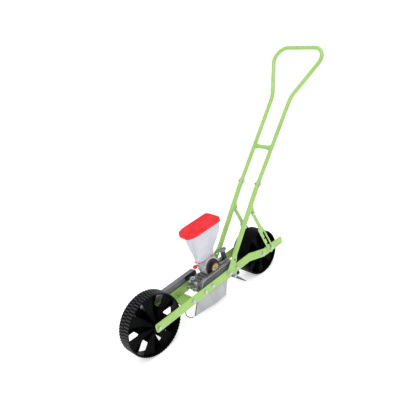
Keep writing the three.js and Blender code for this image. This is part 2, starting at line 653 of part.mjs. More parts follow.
function makeChainCase() {
  const { inner, outer, wall, front, rear, middle, radius } = CASE;
  const outline = (inset) => roundedBar(
    [front + inset, rear - inset], [middle - radius + inset, middle + radius - inset],
    radius - inset - 0.01, CASE.rearRadius - inset,
  );
  const shell = cut(
    plateX(outline(0), [inner, outer], 7),
    plateX(outline(wall), [inner + wall, outer - wall], 7),
    cylinderX([0, 70], HANDLE_PIVOT, 5, 12),
    cylinderX([0, outer - wall - 1], LAYSHAFT, 11),
    box([METER_CHAIN_X - 3.6, METER_CHAIN_X + 3.6], [METER.y - 24, METER.y + 24], [UPPER_RUN_Z, 200]),
  );
  const idlerPin = cylinderX([inner + 1, outer - 1], IDLER, IDLER.pin, 12);
  const bosses = BODY_BOLTS.map((at) => cylinderX([outer - 1, INSIDE_RAIL_X], at, 8));
  const threads = BODY_BOLTS.map((at) => cylinderX([outer + 0.5, 60], at, BOLT_HOLE, 12));
  return cut(joined(shell, idlerPin, ...bosses), ...threads);
}

place('chain_case', makeChainCase(), blackPlastic);

// ---- lever behind the metering unit ----
function makeLever() {
  const centre = { y: 0, z: 0 };
  const post = plateX(loopOutline(centre, 8.5, { y: 0, z: 50 }, 8.5), [-9, 9]);
  const cap = box([-11, 11], [-11, 11], [58, 66]);
  const clampBolt = cylinderBetween(new THREE.Vector3(0, 10, 62), new THREE.Vector3(0, 19, 62), 5, 6);
  return cut(joined(post, cap, clampBolt), cylinderX([-20, 20], centre, 3.4, 12));
}

place('lever', makeLever(), blackPlastic, [LEVER_PIVOT.x, LEVER_PIVOT.y, LEVER_PIVOT.z]);
const leverPin = makeShaft([-25, BASE.left - 1], 3, [[-25.5, -20.4, 5.5, 12]]);
place('lever_pin', leverPin, zincSteel, [0, LEVER_PIVOT.y, LEVER_PIVOT.z]);

// ---- furrow opener ----
// A side plate drawn flat and then sheared out from the front edge to the rear.
function openerWing(side) {
  const { tipY, tipZ, topZ, rearY, topRearY, rearX, plate } = OPENER;
  const lean = 0.52;
  const frontYAt = (z) => tipY + lean * (z - tipZ);
  const outline = polygon([
    [tipY, tipZ], [340, tipZ + 3], [rearY, 30], [topRearY, topZ], [frontYAt(topZ), topZ],
  ]);
  const geometry = new THREE.ExtrudeGeometry(outline, { depth: plate, bevelEnabled: false });
  geometry.applyMatrix4(PROFILE_TO_X).translate(-plate / 2, 0, 0);
  const points = geometry.attributes.position;
  const spread = rearX / (rearY - tipY);
  for (let i = 0; i < points.count; i += 1) {
    const fromFront = points.getY(i) - frontYAt(points.getZ(i));
    points.setX(i, points.getX(i) + side * fromFront * spread);
  }
  return solidOf(geometry);
}

// Two wings with a web across them, and a flat shank that slides up into the base.
function makeOpener() {
  const web = new THREE.ExtrudeGeometry(
    polygon([[-29, 62], [29, 62], [25, 112], [-25, 112]]), { depth: 3, bevelEnabled: false },
  );
  web.rotateX(Math.PI / 2).translate(0, 402.4, 0);
  const shank = box([-3, 3], [402, 418], [64, 180]);
  return joined(openerWing(1), openerWing(-1), solidOf(web), shank);
}

place('furrow_opener', makeOpener(), sheetSteel);
const depthBolt = makeShaft([-42, -3.6], 4, [[-42, -35.5, HEX.radius, 6]]);
place('depth_bolt', depthBolt, zincSteel, [0, DEPTH_BOLT.y, DEPTH_BOLT.z]);

// ---- wire guard ahead of the opener ----
// A curve through given points, with one step of the extrusion between neighbours.
class PointPath extends THREE.Curve {
  constructor(points) {
    super();
    this.points = points;
  }

  indexAt(u) {
    return Math.round(u * (this.points.length - 1));
  }

  getPoint(u, target = new THREE.Vector3()) {
    return target.copy(this.points[this.indexAt(u)]);
  }

  getPointAt(u, target) {
    return this.getPoint(u, target);
  }

  getTangentAt(u, target = new THREE.Vector3()) {
    const i = this.indexAt(u);
    const last = this.points.length - 1;
    return target.subVectors(this.points[Math.min(i + 1, last)], this.points[Math.max(i - 1, 0)]).normalize();
  }
}

function sweepTube(points, radius, bore, sides) {
  const section = new THREE.Shape().absarc(0, 0, radius, 0, 2 * Math.PI, false);
  if (bore > 0) section.holes.push(new THREE.Path().absarc(0, 0, bore, 0, 2 * Math.PI, true));
  const steps = points.length - 1;
  return solidOf(new THREE.ExtrudeGeometry(section, {
    extrudePath: new PointPath(points), steps, curveSegments: sides / 2, bevelEnabled: false,
  }));
}

const wireCurve = new THREE.CatmullRomCurve3([
  [190, 118.4], [186, 92], [180, 70], [182, 49], [192, 34], [203, 23], [214, 18],
].map(([y, z]) => new THREE.Vector3(0, y, z)));
place('wire_guard', sweepTube(wireCurve.getSpacedPoints(16), 2, 0, 8), sheetSteel);

// ---- covering tines behind the opener ----
const bracketX = INSIDE_RAIL_X - 3.5;

function makeCoverBracket() {
  const shape = loopOutline(REAR_TIE, 10, COVER_BAR, 10);
  shape.holes.push(holeAt(REAR_TIE, 4.3), holeAt(COVER_BAR, COVER_BAR.radius + GAP));
  return plateX(shape, [0, 3.5], 8);
}

place('cover_bracket_left', makeCoverBracket(), sheetSteel, [bracketX, 0, 0]);
place('cover_bracket_right', makeCoverBracket(), sheetSteel, [-INSIDE_RAIL_X, 0, 0]);
const coverBar = makeShaft([-58, 58], COVER_BAR.radius, [[-57, -51, HEX.radius, 6], [51, 57, HEX.radius, 6]]);
place('cover_bar', coverBar, zincSteel, [0, COVER_BAR.y, COVER_BAR.z]);

const TINE = { x: 40, thickness: 3, hub: 9, length: 102, angle: -48 };

function makeTine() {
  const centre = { y: 0, z: 0 };
  const turn = toRadians(TINE.angle);
  const tip = { y: TINE.length * Math.cos(turn), z: TINE.length * Math.sin(turn) };
  const blade = plateX(loopOutline(centre, TINE.hub, tip, 2), [-TINE.thickness / 2, TINE.thickness / 2]);
  const hub = cylinderX([-5, 5], centre, TINE.hub);
  const stud = cylinderBetween(new THREE.Vector3(0, 6, 0), new THREE.Vector3(0, 18, 0), 4);
  return cut(joined(blade, hub, stud), cylinderX([-9, 9], centre, COVER_BAR.radius + GAP, 12));
}

function makeTineKnob() {
  const profile = [[0, 0], [8, 0], [12.5, 4], [13.5, 9], [12, 14], [7, 16], [0, 16]];
  return solidOf(new THREE.LatheGeometry(profile.map(([r, h]) => new THREE.Vector2(r, h)), 14));
}

for (const [side, x] of [['left', TINE.x], ['right', -TINE.x]]) {
  place(`cover_tine_${side}`, makeTine(), sheetSteel, [x, COVER_BAR.y, COVER_BAR.z]);
  place(`tine_knob_${side}`, makeTineKnob(), blackPlastic, [x, COVER_BAR.y + 18.5, COVER_BAR.z]);
}

// ---- handle ----
const pivotPoint = new THREE.Vector3(LEG_X, HANDLE_PIVOT.y, HANDLE_PIVOT.z);
const legDirection = new THREE.Vector3().subVectors(LEG_BEND, pivotPoint).normalize();
const legLength = LEG_BEND.distanceTo(pivotPoint);
const upperDirection = new THREE.Vector3().subVectors(GRIP_KINK, LEG_BEND).normalize();
const sleeveEnd = LEG_BEND.clone().addScaledVector(upperDirection, SLEEVE_LENGTH);

// The flattened foot of a leg, from its round end at the pivot up to the full tube.
function makeLegFoot() {
  const stations = [-17.6, -15, -9, 0, 14, 58, 68, 78, 88, 96];
  const rows = stations.length - 1;
  const sides = 14;
  const geometry = new THREE.CylinderGeometry(1, 1, rows, sides, rows);
  const points = geometry.attributes.position;
  const across = new THREE.Vector3(0, -legDirection.z, legDirection.y);
  for (let i = 0; i < points.count; i += 1) {
    const s = stations[Math.round(points.getY(i) + rows / 2)];
    const roundness = THREE.MathUtils.smoothstep(s, 58, 96);
    const halfWidth = THREE.MathUtils.lerp(LEG_PADDLE.halfWidth, LOWER_TUBE_RADIUS, roundness);
    const taper = s < 0 ? Math.sqrt(1 - (s / LEG_PADDLE.halfWidth) ** 2) : 1;
    const halfThickness = THREE.MathUtils.lerp(LEG_PADDLE.thickness / 2, LOWER_TUBE_RADIUS, roundness);
    const centreX = THREE.MathUtils.lerp(LEG_PADDLE.inner + LEG_PADDLE.thickness / 2, LEG_X, roundness);
    const flatness = THREE.MathUtils.lerp(0.35, 1, roundness);
    const depth = Math.sign(points.getX(i)) * Math.abs(points.getX(i)) ** flatness * halfThickness;
    const sideways = points.getZ(i) * halfWidth * taper;
    const point = pivotPoint.clone().addScaledVector(legDirection, s).addScaledVector(across, sideways);
    points.setXYZ(i, centreX + depth, point.y, point.z);
  }
  return solidOf(geometry);
}

function makeLowerLeg() {
  const sides = 14;
  const tubeStart = pivotPoint.clone().addScaledVector(legDirection, 94);
  const boreStart = pivotPoint.clone().addScaledVector(legDirection, 104);
  const boreEnd = sleeveEnd.clone().addScaledVector(upperDirection, 4);
  const tube = sweepTube([tubeStart, LEG_BEND, sleeveEnd], LOWER_TUBE_RADIUS, 0, sides);
  const bore = sweepTube([boreStart, LEG_BEND, boreEnd], UPPER_TUBE_RADIUS + GAP, 0, sides);
  const lugOutline = [[-12, 33], [17, 57], [9, -1], [4, -8], [-4, -8], [-9, -3]];
  const lug = plateX(
    polygon(lugOutline.map(([y, z]) => [BRACE_TOP.y + y, BRACE_TOP.z + z])), [LEG_X + 1, BRACE.x - GAP],
  );
  return cut(
    joined(makeLegFoot(), tube, lug.subtract(bore)),
    bore,
    cylinderX([40, 70], HANDLE_PIVOT, BOLT_HOLE, 12),
    cylinderX([40, 70], { y: 480, z: 190 }, 3.4, 12),
    cylinderX([40, 70], BRACE_TOP, 3.3, 12),
    cylinderX([30, 70], SLEEVE_BOLT, 3.3, 12),
  );
}

// The upper tube: straight legs, a splay outwards, and round corners into the top bar.
function arcBetween(before, corner, after, radius, steps) {
  const into = new THREE.Vector3().subVectors(before, corner).normalize();
  const out = new THREE.Vector3().subVectors(after, corner).normalize();
  const half = into.angleTo(out) / 2;
  const reach = radius / Math.tan(half);
  const bisector = into.clone().add(out).normalize();
  const centre = corner.clone().addScaledVector(bisector, radius / Math.sin(half));
  const start = corner.clone().addScaledVector(into, reach).sub(centre);
  const end = corner.clone().addScaledVector(out, reach).sub(centre);
  const sweep = start.angleTo(end);
  const points = [];
  for (let i = 0; i <= steps; i += 1) {
    const t = i / steps;
    const point = start.clone().multiplyScalar(Math.sin((1 - t) * sweep) / Math.sin(sweep));
    points.push(point.addScaledVector(end, Math.sin(t * sweep) / Math.sin(sweep)).add(centre));
  }
  return points;
}

const SLEEVE_BOLT_POINT = LEG_BEND.clone().addScaledVector(upperDirection, 30);
const SLEEVE_BOLT = { y: SLEEVE_BOLT_POINT.y, z: SLEEVE_BOLT_POINT.z };
const mirrored = (point) => new THREE.Vector3(-point.x, point.y, point.z);

function makeUpperHandle() {
  const start = LEG_BEND.clone().addScaledVector(upperDirection, 6);
  const leftSide = [
    start,
    ...arcBetween(start, GRIP_KINK, GRIP_CORNER, 120, 2),
    ...arcBetween(GRIP_KINK, GRIP_CORNER, mirrored(GRIP_CORNER), GRIP_RADIUS, 7),
  ];
  const rightSide = leftSide.map(mirrored).reverse();
  const tube = sweepTube([...leftSide, ...rightSide], UPPER_TUBE_RADIUS, UPPER_TUBE_RADIUS - TUBE_WALL, 10);
  return cut(tube, cylinderX([-80, 80], SLEEVE_BOLT, 3.3, 12));
}

function makeCrossbar() {
  const middle = LEG_BEND.clone().lerp(GRIP_KINK, 0.45);
  const geometry = new THREE.CylinderGeometry(1, 1, 1, 14, 8);
  const points = geometry.attributes.position;
  const reach = middle.x - 5;
  const along = new THREE.Vector3(0, upperDirection.y, upperDirection.z).normalize();
  const across = new THREE.Vector3(0, -along.z, along.y);
  for (let i = 0; i < points.count; i += 1) {
    const share = 2 * points.getY(i);
    const flare = Math.abs(share) ** 3;
    const wide = points.getX(i) * THREE.MathUtils.lerp(9.5, 17, flare);
    const thick = points.getZ(i) * THREE.MathUtils.lerp(9.5, 7.5, flare);
    const point = middle.clone().addScaledVector(along, wide).addScaledVector(across, thick);
    points.setXYZ(i, -share * reach, point.y, point.z);
  }
  const clearance = [1, -1].map((side) => {
    const low = LEG_BEND.clone();
    const high = GRIP_KINK.clone();
    low.x *= side;
    high.x *= side;
    return cylinderBetween(low, high, UPPER_TUBE_RADIUS + GAP, 20);
  });
  return cut(solidOf(geometry), ...clearance);
}

// The mirror image of a solid across the middle of the machine.
function mirroredX(solid) {
  const geometry = geometryOf(solid).scale(-1, 1, 1);
  geometry.setIndex(Array.from(geometry.index.array).reverse());
  return solidOf(geometry);
}

const lowerLeg = makeLowerLeg();
place('handle_leg_left', lowerLeg, paint);
place('handle_leg_right', mirroredX(lowerLeg), paint);
place('handle_tube', makeUpperHandle(), paint);
place('handle_crossbar', makeCrossbar(), paint);

// Bolts through the sleeves, both with their heads to the left.
const sleeveBolt = bolt(2 * LOWER_TUBE_RADIUS + 4 * GAP, 3);
for (const [side, legX] of [['left', SLEEVE_BOLT_POINT.x], ['right', -SLEEVE_BOLT_POINT.x]]) {
  const nutX = legX - LOWER_TUBE_RADIUS - 2 * GAP;
  place(`sleeve_bolt_${side}`, sleeveBolt, zincSteel, [nutX, SLEEVE_BOLT.y, SLEEVE_BOLT.z]);
}

// ---- braces: slotted plates that hold the handle at one of three heights ----
const BRACE_LENGTH = Math.hypot(BRACE_PIN.y - BRACE_TOP.y, BRACE_PIN.z - BRACE_TOP.z);
const BRACE_TURN = Math.atan2(BRACE_PIN.y - BRACE_TOP.y, BRACE_TOP.z - BRACE_PIN.z);

// Drawn hanging straight down from its top bolt: first value towards the rear, second value up.
function makeBrace() {
  const shape = new THREE.Shape();
  const foot = -BRACE_LENGTH;
  const notchDepth = 8;
  const notchSpacing = 38.5;
  const slotHalf = 5.2;
  const edge = [
    [-11.5, -84], [-21, -96], [-22, foot - 4], [-10, foot - 24],
    [11, foot - 19], [14, foot], [13, -110], [7.5, -92],
  ];
  shape.absarc(-2, 0, 9.5, 0, Math.PI, false);
  edge.forEach(([w, s]) => shape.lineTo(w, s));
  shape.closePath();
  const slot = new THREE.Path();
  slot.moveTo(slotHalf, foot - slotHalf - 1);
  slot.lineTo(-slotHalf - notchDepth, foot - slotHalf - 1);
  for (const step of [0, 1, 2]) {
    const top = foot + step * notchSpacing + slotHalf;
    const next = step === 2 ? foot + 112 : top + notchSpacing - 2 * slotHalf;
    slot.lineTo(-slotHalf - notchDepth, top);
    slot.lineTo(-slotHalf, top);
    slot.lineTo(-slotHalf, next);
    if (step < 2) slot.lineTo(-slotHalf - notchDepth, next);
  }
  slot.lineTo(slotHalf, foot + 112);
  slot.closePath();
  shape.holes.push(slot, new THREE.Path().absarc(0, 0, 3.4, 0, 2 * Math.PI, true));
  return plateX(shape, [0, BRACE.thickness]);
}

const braceSolid = makeBrace();
for (const [side, x] of [['left', BRACE.x], ['right', -BRACE.x - BRACE.thickness]]) {
  place(`brace_${side}`, braceSolid, paint, [x, BRACE_TOP.y, BRACE_TOP.z], [BRACE_TURN, 0, 0]);
}

const braceBoltX = LEG_X + 1 - GAP;
const braceOuterX = BRACE.x + BRACE.thickness + GAP;
const braceBolt = bolt(braceOuterX - braceBoltX, 3);
const bracePin = bolt(braceOuterX - INSIDE_RAIL_X);
placeBothSides('brace_bolt', braceBolt, zincSteel, [braceBoltX, BRACE_TOP.y, BRACE_TOP.z]);
placeBothSides('brace_pin', bracePin, zincSteel, [INSIDE_RAIL_X, BRACE_PIN.y, BRACE_PIN.z]);

// ---- the finished model stands over its own middle ----
const bounds = new THREE.Box3().setFromObject(model);
model.position.y = -(bounds.min.y + bounds.max.y) / 2;

export default model;
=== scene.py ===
"""Looks for the hand-pushed row seeder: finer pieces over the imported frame, materials, light and camera."""

import json
import math

import bmesh
import bpy
from mathutils import Matrix, Vector

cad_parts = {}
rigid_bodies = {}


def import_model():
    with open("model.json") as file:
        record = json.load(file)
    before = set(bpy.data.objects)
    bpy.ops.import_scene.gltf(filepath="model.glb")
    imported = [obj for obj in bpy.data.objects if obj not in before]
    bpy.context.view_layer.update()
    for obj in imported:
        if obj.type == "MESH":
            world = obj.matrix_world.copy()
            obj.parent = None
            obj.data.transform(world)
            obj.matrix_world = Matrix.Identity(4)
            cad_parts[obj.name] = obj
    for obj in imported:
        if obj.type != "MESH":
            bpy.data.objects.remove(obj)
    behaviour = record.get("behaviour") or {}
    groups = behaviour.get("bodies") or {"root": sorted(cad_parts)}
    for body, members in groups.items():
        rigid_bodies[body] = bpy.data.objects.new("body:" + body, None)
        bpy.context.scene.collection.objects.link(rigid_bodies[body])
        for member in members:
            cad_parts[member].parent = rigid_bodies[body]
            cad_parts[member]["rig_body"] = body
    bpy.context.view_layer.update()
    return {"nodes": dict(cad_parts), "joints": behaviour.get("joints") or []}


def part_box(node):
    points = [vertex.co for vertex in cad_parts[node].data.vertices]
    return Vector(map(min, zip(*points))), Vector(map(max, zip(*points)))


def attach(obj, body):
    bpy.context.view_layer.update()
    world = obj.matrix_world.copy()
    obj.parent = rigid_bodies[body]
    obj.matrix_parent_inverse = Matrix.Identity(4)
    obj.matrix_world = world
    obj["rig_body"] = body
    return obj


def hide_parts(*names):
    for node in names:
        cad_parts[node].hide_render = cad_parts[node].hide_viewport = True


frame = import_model()

MM = 0.001
JOINTS = {joint["name"]: joint for joint in frame["joints"]}


# ---------------------------------------------------------------- places from the frame
def pivot(joint_name):
    return Vector(JOINTS[joint_name]["pos_m"])


def middle(node):
    low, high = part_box(node)
    return (low + high) / 2


FRONT = pivot("front_wheel_spin")
REAR = pivot("rear_wheel_spin")
LAYSHAFT = pivot("layshaft_spin")
IDLER = pivot("idler_spin")
METER = pivot("seed_roller_spin")
HANDLE = pivot("handle_tilt")
LEVER = pivot("lever_swing")
BRACE_TOP = pivot("brace_left_swing")
ORIGIN_Y = FRONT.y


def at(x, y, z):
    """A point in metres from millimetres, with y counted from the front axle."""
    return Vector((x * MM, y * MM + ORIGIN_Y, z * MM))


# ---------------------------------------------------------------- materials
MAP_SOCKETS = ("From Min", "From Max", "To Min", "To Max")


class Nodes:
    """A small builder around one material's node tree."""

    def __init__(self, name):
        self.material = bpy.data.materials.new(name)
        self.material.use_nodes = True
        self.tree = self.material.node_tree
        self.tree.nodes.clear()
        self.output = self.add("ShaderNodeOutputMaterial")
        self.shader = self.add("ShaderNodeBsdfPrincipled")
        self.link(self.shader.outputs["BSDF"], self.output.inputs["Surface"])
        self.coordinates = self.add("ShaderNodeTexCoord").outputs["Object"]

    def add(self, kind, **settings):
        node = self.tree.nodes.new(kind)
        for key, value in settings.items():
            setattr(node, key, value)
        return node

    def link(self, source, target):
        self.tree.links.new(source, target)

    def set(self, **sockets):
        for name, value in sockets.items():
            self.shader.inputs[name.replace("_", " ")].default_value = value
        return self

    def stretched(self, scale):
        mapping = self.add("ShaderNodeMapping")
        mapping.inputs["Scale"].default_value = scale
        self.link(self.coordinates, mapping.inputs["Vector"])
        return mapping.outputs["Vector"]

    def noise(self, scale, detail=4, roughness=0.55, vector=None):
        node = self.add("ShaderNodeTexNoise")
        node.inputs["Scale"].default_value = scale
        node.inputs["Detail"].default_value = detail
        node.inputs["Roughness"].default_value = roughness
        self.link(vector or self.coordinates, node.inputs["Vector"])
        return node.outputs["Fac"]

    def mapped(self, value, low, high, to_low, to_high):
        node = self.add("ShaderNodeMapRange")
        for socket, setting in zip(MAP_SOCKETS, (low, high, to_low, to_high)):
            node.inputs[socket].default_value = setting
        self.link(value, node.inputs["Value"])
        return node.outputs["Result"]

    def mixed(self, factor, first, second):
        node = self.add("ShaderNodeMix", data_type="RGBA")
        self.link(factor, node.inputs["Factor"])
        for index, value in ((6, first), (7, second)):
            if isinstance(value, tuple):
                node.inputs[index].default_value = (*value, 1)
            else:
                self.link(value, node.inputs[index])
        return node.outputs[2]

    def maths(self, operation, first, second):
        node = self.add("ShaderNodeMath", operation=operation)
        for index, value in enumerate((first, second)):
            if isinstance(value, (int, float)):
                node.inputs[index].default_value = value
            else:
                self.link(value, node.inputs[index])
        return node.outputs[0]

    def times(self, first, second):
        return self.maths("MULTIPLY", first, second)

    # Mask of sharp edges from pointiness: it places the paint chips on steel, paler edges on plastic and a
    # painted highlight on cast metal.
    def edge_wear_and_highlight_mask(self, low=0.52, high=0.6):
        geometry = self.add("ShaderNodeNewGeometry")
        return self.mapped(geometry.outputs["Pointiness"], low, high, 0, 1)

    def bump(self, height, strength, distance):
        node = self.add("ShaderNodeBump")
        node.inputs["Strength"].default_value = strength
        node.inputs["Distance"].default_value = distance
        self.link(height, node.inputs["Height"])
        self.link(node.outputs["Normal"], self.shader.inputs["Normal"])

    def patches(self, scale, detail, low=0.35, high=0.65, top=1):
        """Noise of which the part between low and high is spread over 0 to top."""
        return self.mapped(self.noise(scale, detail), low, high, 0, top)

    def rough_patches(self, scale, detail, smoothest, roughest):
        self.roughness(self.mapped(self.noise(scale, detail), 0.3, 0.7, smoothest, roughest))

    def colour(self, socket):
        self.link(socket, self.shader.inputs["Base Color"])

    def roughness(self, socket):
        self.link(socket, self.shader.inputs["Roughness"])


def painted_steel():
    m = Nodes("green_powder_coat").set(Metallic=0.0, IOR=1.5, Coat_Weight=0.2, Coat_Roughness=0.25)
    broad = m.patches(9, 3)
    base = m.mixed(broad, (0.302, 0.535, 0.112), (0.35, 0.59, 0.143))
    dust = m.times(m.patches(60, 6, 0.55, 0.75), 0.16)
    dusty = m.mixed(dust, base, (0.60, 0.70, 0.40))
    chips = m.times(m.edge_wear_and_highlight_mask(0.56, 0.66), m.patches(240, 3, 0.56, 0.62, 0.6))
    m.colour(m.mixed(chips, dusty, (0.33, 0.38, 0.26)))
    m.rough_patches(35, 5, 0.3, 0.46)
    m.bump(m.noise(900, 2), 0.12, 0.0004)
    return m.material


def wheel_plastic(name, rough, tone, specular):
    m = Nodes(name).set(Metallic=0.0, IOR=1.45, Specular_IOR_Level=specular)
    broad = m.patches(14, 5, 0.35, 0.7)
    base = m.mixed(broad, (tone, tone * 1.08, tone * 1.22), (tone * 1.9, tone * 2.05, tone * 2.3))
    dust = m.times(m.patches(120, 6, 0.58, 0.78), 0.2)
    m.colour(m.mixed(dust, base, (tone * 5, tone * 5, tone * 5)))
    m.rough_patches(50, 5, rough, rough + 0.18)
    m.bump(m.noise(1200, 3), 0.15, 0.0003)
    return m.material


def plain_plastic(name, dark, light, rough, grain=700, specular=0.5):
    m = Nodes(name).set(Metallic=0.0, IOR=1.48, Specular_IOR_Level=specular)
    base = m.mixed(m.patches(25, 5), dark, light)
    pale = tuple(min(1.0, value * 1.25 + 0.015) for value in light)
    m.colour(m.mixed(m.times(m.edge_wear_and_highlight_mask(), 0.35), base, pale))
    m.rough_patches(70, 5, rough - 0.07, rough + 0.09)
    m.bump(m.noise(grain, 3), 0.16, 0.0003)
    return m.material


def clear_plastic(name, low_alpha, high_alpha, dark=(0.70, 0.72, 0.80), light=(0.77, 0.79, 0.86)):
    m = Nodes(name).set(Metallic=0.0, IOR=1.49, Coat_Weight=0.2, Coat_Roughness=0.1)
    broad = m.patches(12, 4)
    m.colour(m.mixed(broad, dark, light))
    m.roughness(m.mapped(m.noise(90, 6), 0.35, 0.7, 0.12, 0.26))
    rim = m.add("ShaderNodeLayerWeight")
    rim.inputs["Blend"].default_value = 0.35
    scuffs = m.patches(160, 6, 0.5, 0.8, 0.05)
    edge = m.mapped(rim.outputs["Facing"], 0.0, 1.0, low_alpha, high_alpha)
    m.link(m.maths("ADD", edge, scuffs), m.shader.inputs["Alpha"])
    m.bump(m.noise(18, 1), 0.05, 0.0002)
    return m.material


def zinc_steel(name="zinc_plated_steel", tone=(0.48, 0.495, 0.53), rough=0.22):
    m = Nodes(name).set(Metallic=1.0)
    light = tuple(min(1.0, value * 1.18) for value in tone)
    base = m.mixed(m.patches(180, 5), tone, light)
    stain = tuple(value * 0.5 for value in tone)
    m.colour(m.mixed(m.times(m.patches(500, 3, 0.6, 0.7), 0.4), base, stain))
    m.rough_patches(260, 5, rough - 0.07, rough + 0.12)
    m.bump(m.noise(1500, 2), 0.12, 0.0002)
    return m.material


def sheet_steel(name, dark, light):
    m = Nodes(name).set(Metallic=0.7, Anisotropic=0.3)
    streaks = m.noise(34, 6, vector=m.stretched((1, 1.3, 0.22)))
    base = m.mixed(m.mapped(streaks, 0.36, 0.64, 0, 1), dark, light)
    stain = m.times(m.patches(22, 6, 0.56, 0.74), 0.2)
    m.colour(m.mixed(stain, base, tuple(value * 0.78 for value in dark)))
    m.roughness(m.mapped(m.noise(120, 5, vector=m.stretched((1, 1, 6))), 0.3, 0.7, 0.38, 0.54))
    m.bump(m.noise(500, 4, vector=m.stretched((1, 1, 8))), 0.18, 0.0003)
    return m.material


def cast_metal(name, dark, light):
    m = Nodes(name).set(Metallic=0.6)
    base = m.mixed(m.patches(45, 6), dark, light)
    # Sharp edges are painted lighter: a painted highlight where light would catch them, not wear.
    painted_edge_highlight = m.times(m.edge_wear_and_highlight_mask(0.53, 0.62), 0.6)
    m.colour(m.mixed(painted_edge_highlight, base, tuple(min(1.0, value * 1.6) for value in light)))
    m.rough_patches(150, 5, 0.38, 0.58)
    m.bump(m.noise(700, 4, 0.7), 0.35, 0.0006)
    return m.material


def brass():
    m = Nodes("yellow_zinc_plate").set(Metallic=0.8)
    base = m.mixed(m.patches(120, 5), (0.44, 0.32, 0.13), (0.56, 0.43, 0.20))
    m.colour(m.mixed(m.times(m.patches(300, 4, 0.58, 0.7), 0.5), base, (0.34, 0.22, 0.12)))
    m.rough_patches(250, 5, 0.28, 0.46)
    m.bump(m.noise(1200, 2), 0.12, 0.0002)
    return m.material


def bristle():
    m = Nodes("brush_bristle").set(Metallic=0.0)
    strands = m.noise(900, 2, vector=m.stretched((1, 1, 0.05)))
    m.colour(m.mixed(m.mapped(strands, 0.4, 0.6, 0, 1), (0.02, 0.02, 0.022), (0.09, 0.09, 0.09)))
    m.roughness(m.mapped(strands, 0.3, 0.7, 0.5, 0.7))
    m.bump(strands, 0.5, 0.0006)
    return m.material


PAINT = painted_steel()
TYRE = wheel_plastic("tyre_black", 0.32, 0.0085, 0.5)
WHEEL = wheel_plastic("wheel_black_plastic", 0.36, 0.0015, 0.045)
GUARD = plain_plastic("grey_plastic", (0.19, 0.195, 0.215), (0.26, 0.265, 0.29), 0.4)
GREY = plain_plastic("dark_grey_plastic", (0.10, 0.105, 0.11), (0.15, 0.155, 0.165), 0.42)
CAP_RIB = plain_plastic("black_ribbed_plastic", (0.022, 0.023, 0.025), (0.04, 0.041, 0.044), 0.38)
BLACK = plain_plastic("black_plastic", (0.007, 0.008, 0.009), (0.014, 0.015, 0.017), 0.4, specular=0.35)
CASE = plain_plastic("dark_cover", (0.018, 0.026, 0.024), (0.034, 0.046, 0.042), 0.4)
RED = plain_plastic("red_plastic", (0.74, 0.017, 0.025), (0.85, 0.036, 0.045), 0.48, 170, 0.16)
ROLLER = plain_plastic("warm_grey_plastic", (0.085, 0.07, 0.06), (0.16, 0.14, 0.12), 0.45)
WHITE = plain_plastic("white_plastic", (0.72, 0.71, 0.67), (0.82, 0.81, 0.77), 0.45)
CLEAR = clear_plastic("clear_plastic", 0.34, 0.66, (0.62, 0.64, 0.72), (0.69, 0.71, 0.79))
CLEAR_SKIN = clear_plastic("clear_thin_plastic", 0.08, 0.32)
CLEAR_RIB = clear_plastic("clear_ribbed_plastic", 0.7, 0.95, (0.84, 0.82, 0.81), (0.90, 0.89, 0.88))
ZINC = zinc_steel()
CHAIN = zinc_steel("oiled_chain_steel", (0.13, 0.13, 0.14), 0.36)
SHEET = sheet_steel("rolled_sheet_steel", (0.41, 0.41, 0.43), (0.50, 0.50, 0.52))
DARK_STEEL = sheet_steel("dark_spring_steel", (0.11, 0.11, 0.118), (0.18, 0.18, 0.188))
CAST = cast_metal("cast_alloy", (0.115, 0.12, 0.13), (0.30, 0.305, 0.32))
LIGHT_CAST = cast_metal("light_cast_alloy", (0.20, 0.205, 0.215), (0.33, 0.335, 0.35))
DARK_CAST = cast_metal("dark_cast_alloy", (0.05, 0.052, 0.058), (0.11, 0.113, 0.122))
BRASS = brass()
SHAFT = zinc_steel("dull_shaft_steel", (0.27, 0.24, 0.18), 0.4)
BRISTLE = bristle()


# ---------------------------------------------------------------- pieces
BEVEL_ANGLE = 30


def linked(name, data):
    """A new object in the scene around a mesh, light or camera."""
    made_object = bpy.data.objects.new(name, data)
    bpy.context.scene.collection.objects.link(made_object)
    return made_object


def put(name, bm, material, body, nodes=(), bevel=0.0, segments=2, sharp=32, cutter=None):
    """Shows a bmesh as a piece on a body, with rounded edges, standing for the named CAD nodes."""
    piece = linked(name, mesh_of(bm, name))
    piece.data.materials.append(material)
    tool = None
    if cutter:
        tool = linked("cutter", mesh_of(cutter, "cutter"))
        modifier = piece.modifiers.new("holes", "BOOLEAN")
        modifier.operation = "DIFFERENCE"
        modifier.solver = "EXACT"
        modifier.object = tool
    if bevel:
        modifier = piece.modifiers.new("rounding", "BEVEL")
        modifier.width = bevel
        modifier.segments = segments
        modifier.limit_method = "ANGLE"
        modifier.angle_limit = math.radians(BEVEL_ANGLE)
    if bevel or cutter:
        depsgraph = bpy.context.evaluated_depsgraph_get()
        finished = bpy.data.meshes.new_from_object(piece.evaluated_get(depsgraph))
        piece.modifiers.clear()
        piece.data = finished
        finished.name = name
    if tool:
        bpy.data.objects.remove(tool)
    piece.data.shade_smooth()
    piece.data.set_sharp_from_angle(angle=math.radians(sharp))
    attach(piece, body)
    if nodes:
        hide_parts(*nodes)


def stand_in(node, bm, material, bevel=0.0, segments=2, sharp=32, cutter=None):
    """Puts a finer piece in a CAD node's place, on the body that the node rides on."""
    body = frame["nodes"][node]["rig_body"]
    put(f"{node}_fine", bm, material, body, (node,), bevel, segments, sharp, cutter)


def mesh_of(bm, name):
    bmesh.ops.recalc_face_normals(bm, faces=bm.faces)
    mesh = bpy.data.meshes.new(name)
    bm.to_mesh(mesh)
    bm.free()
    return mesh


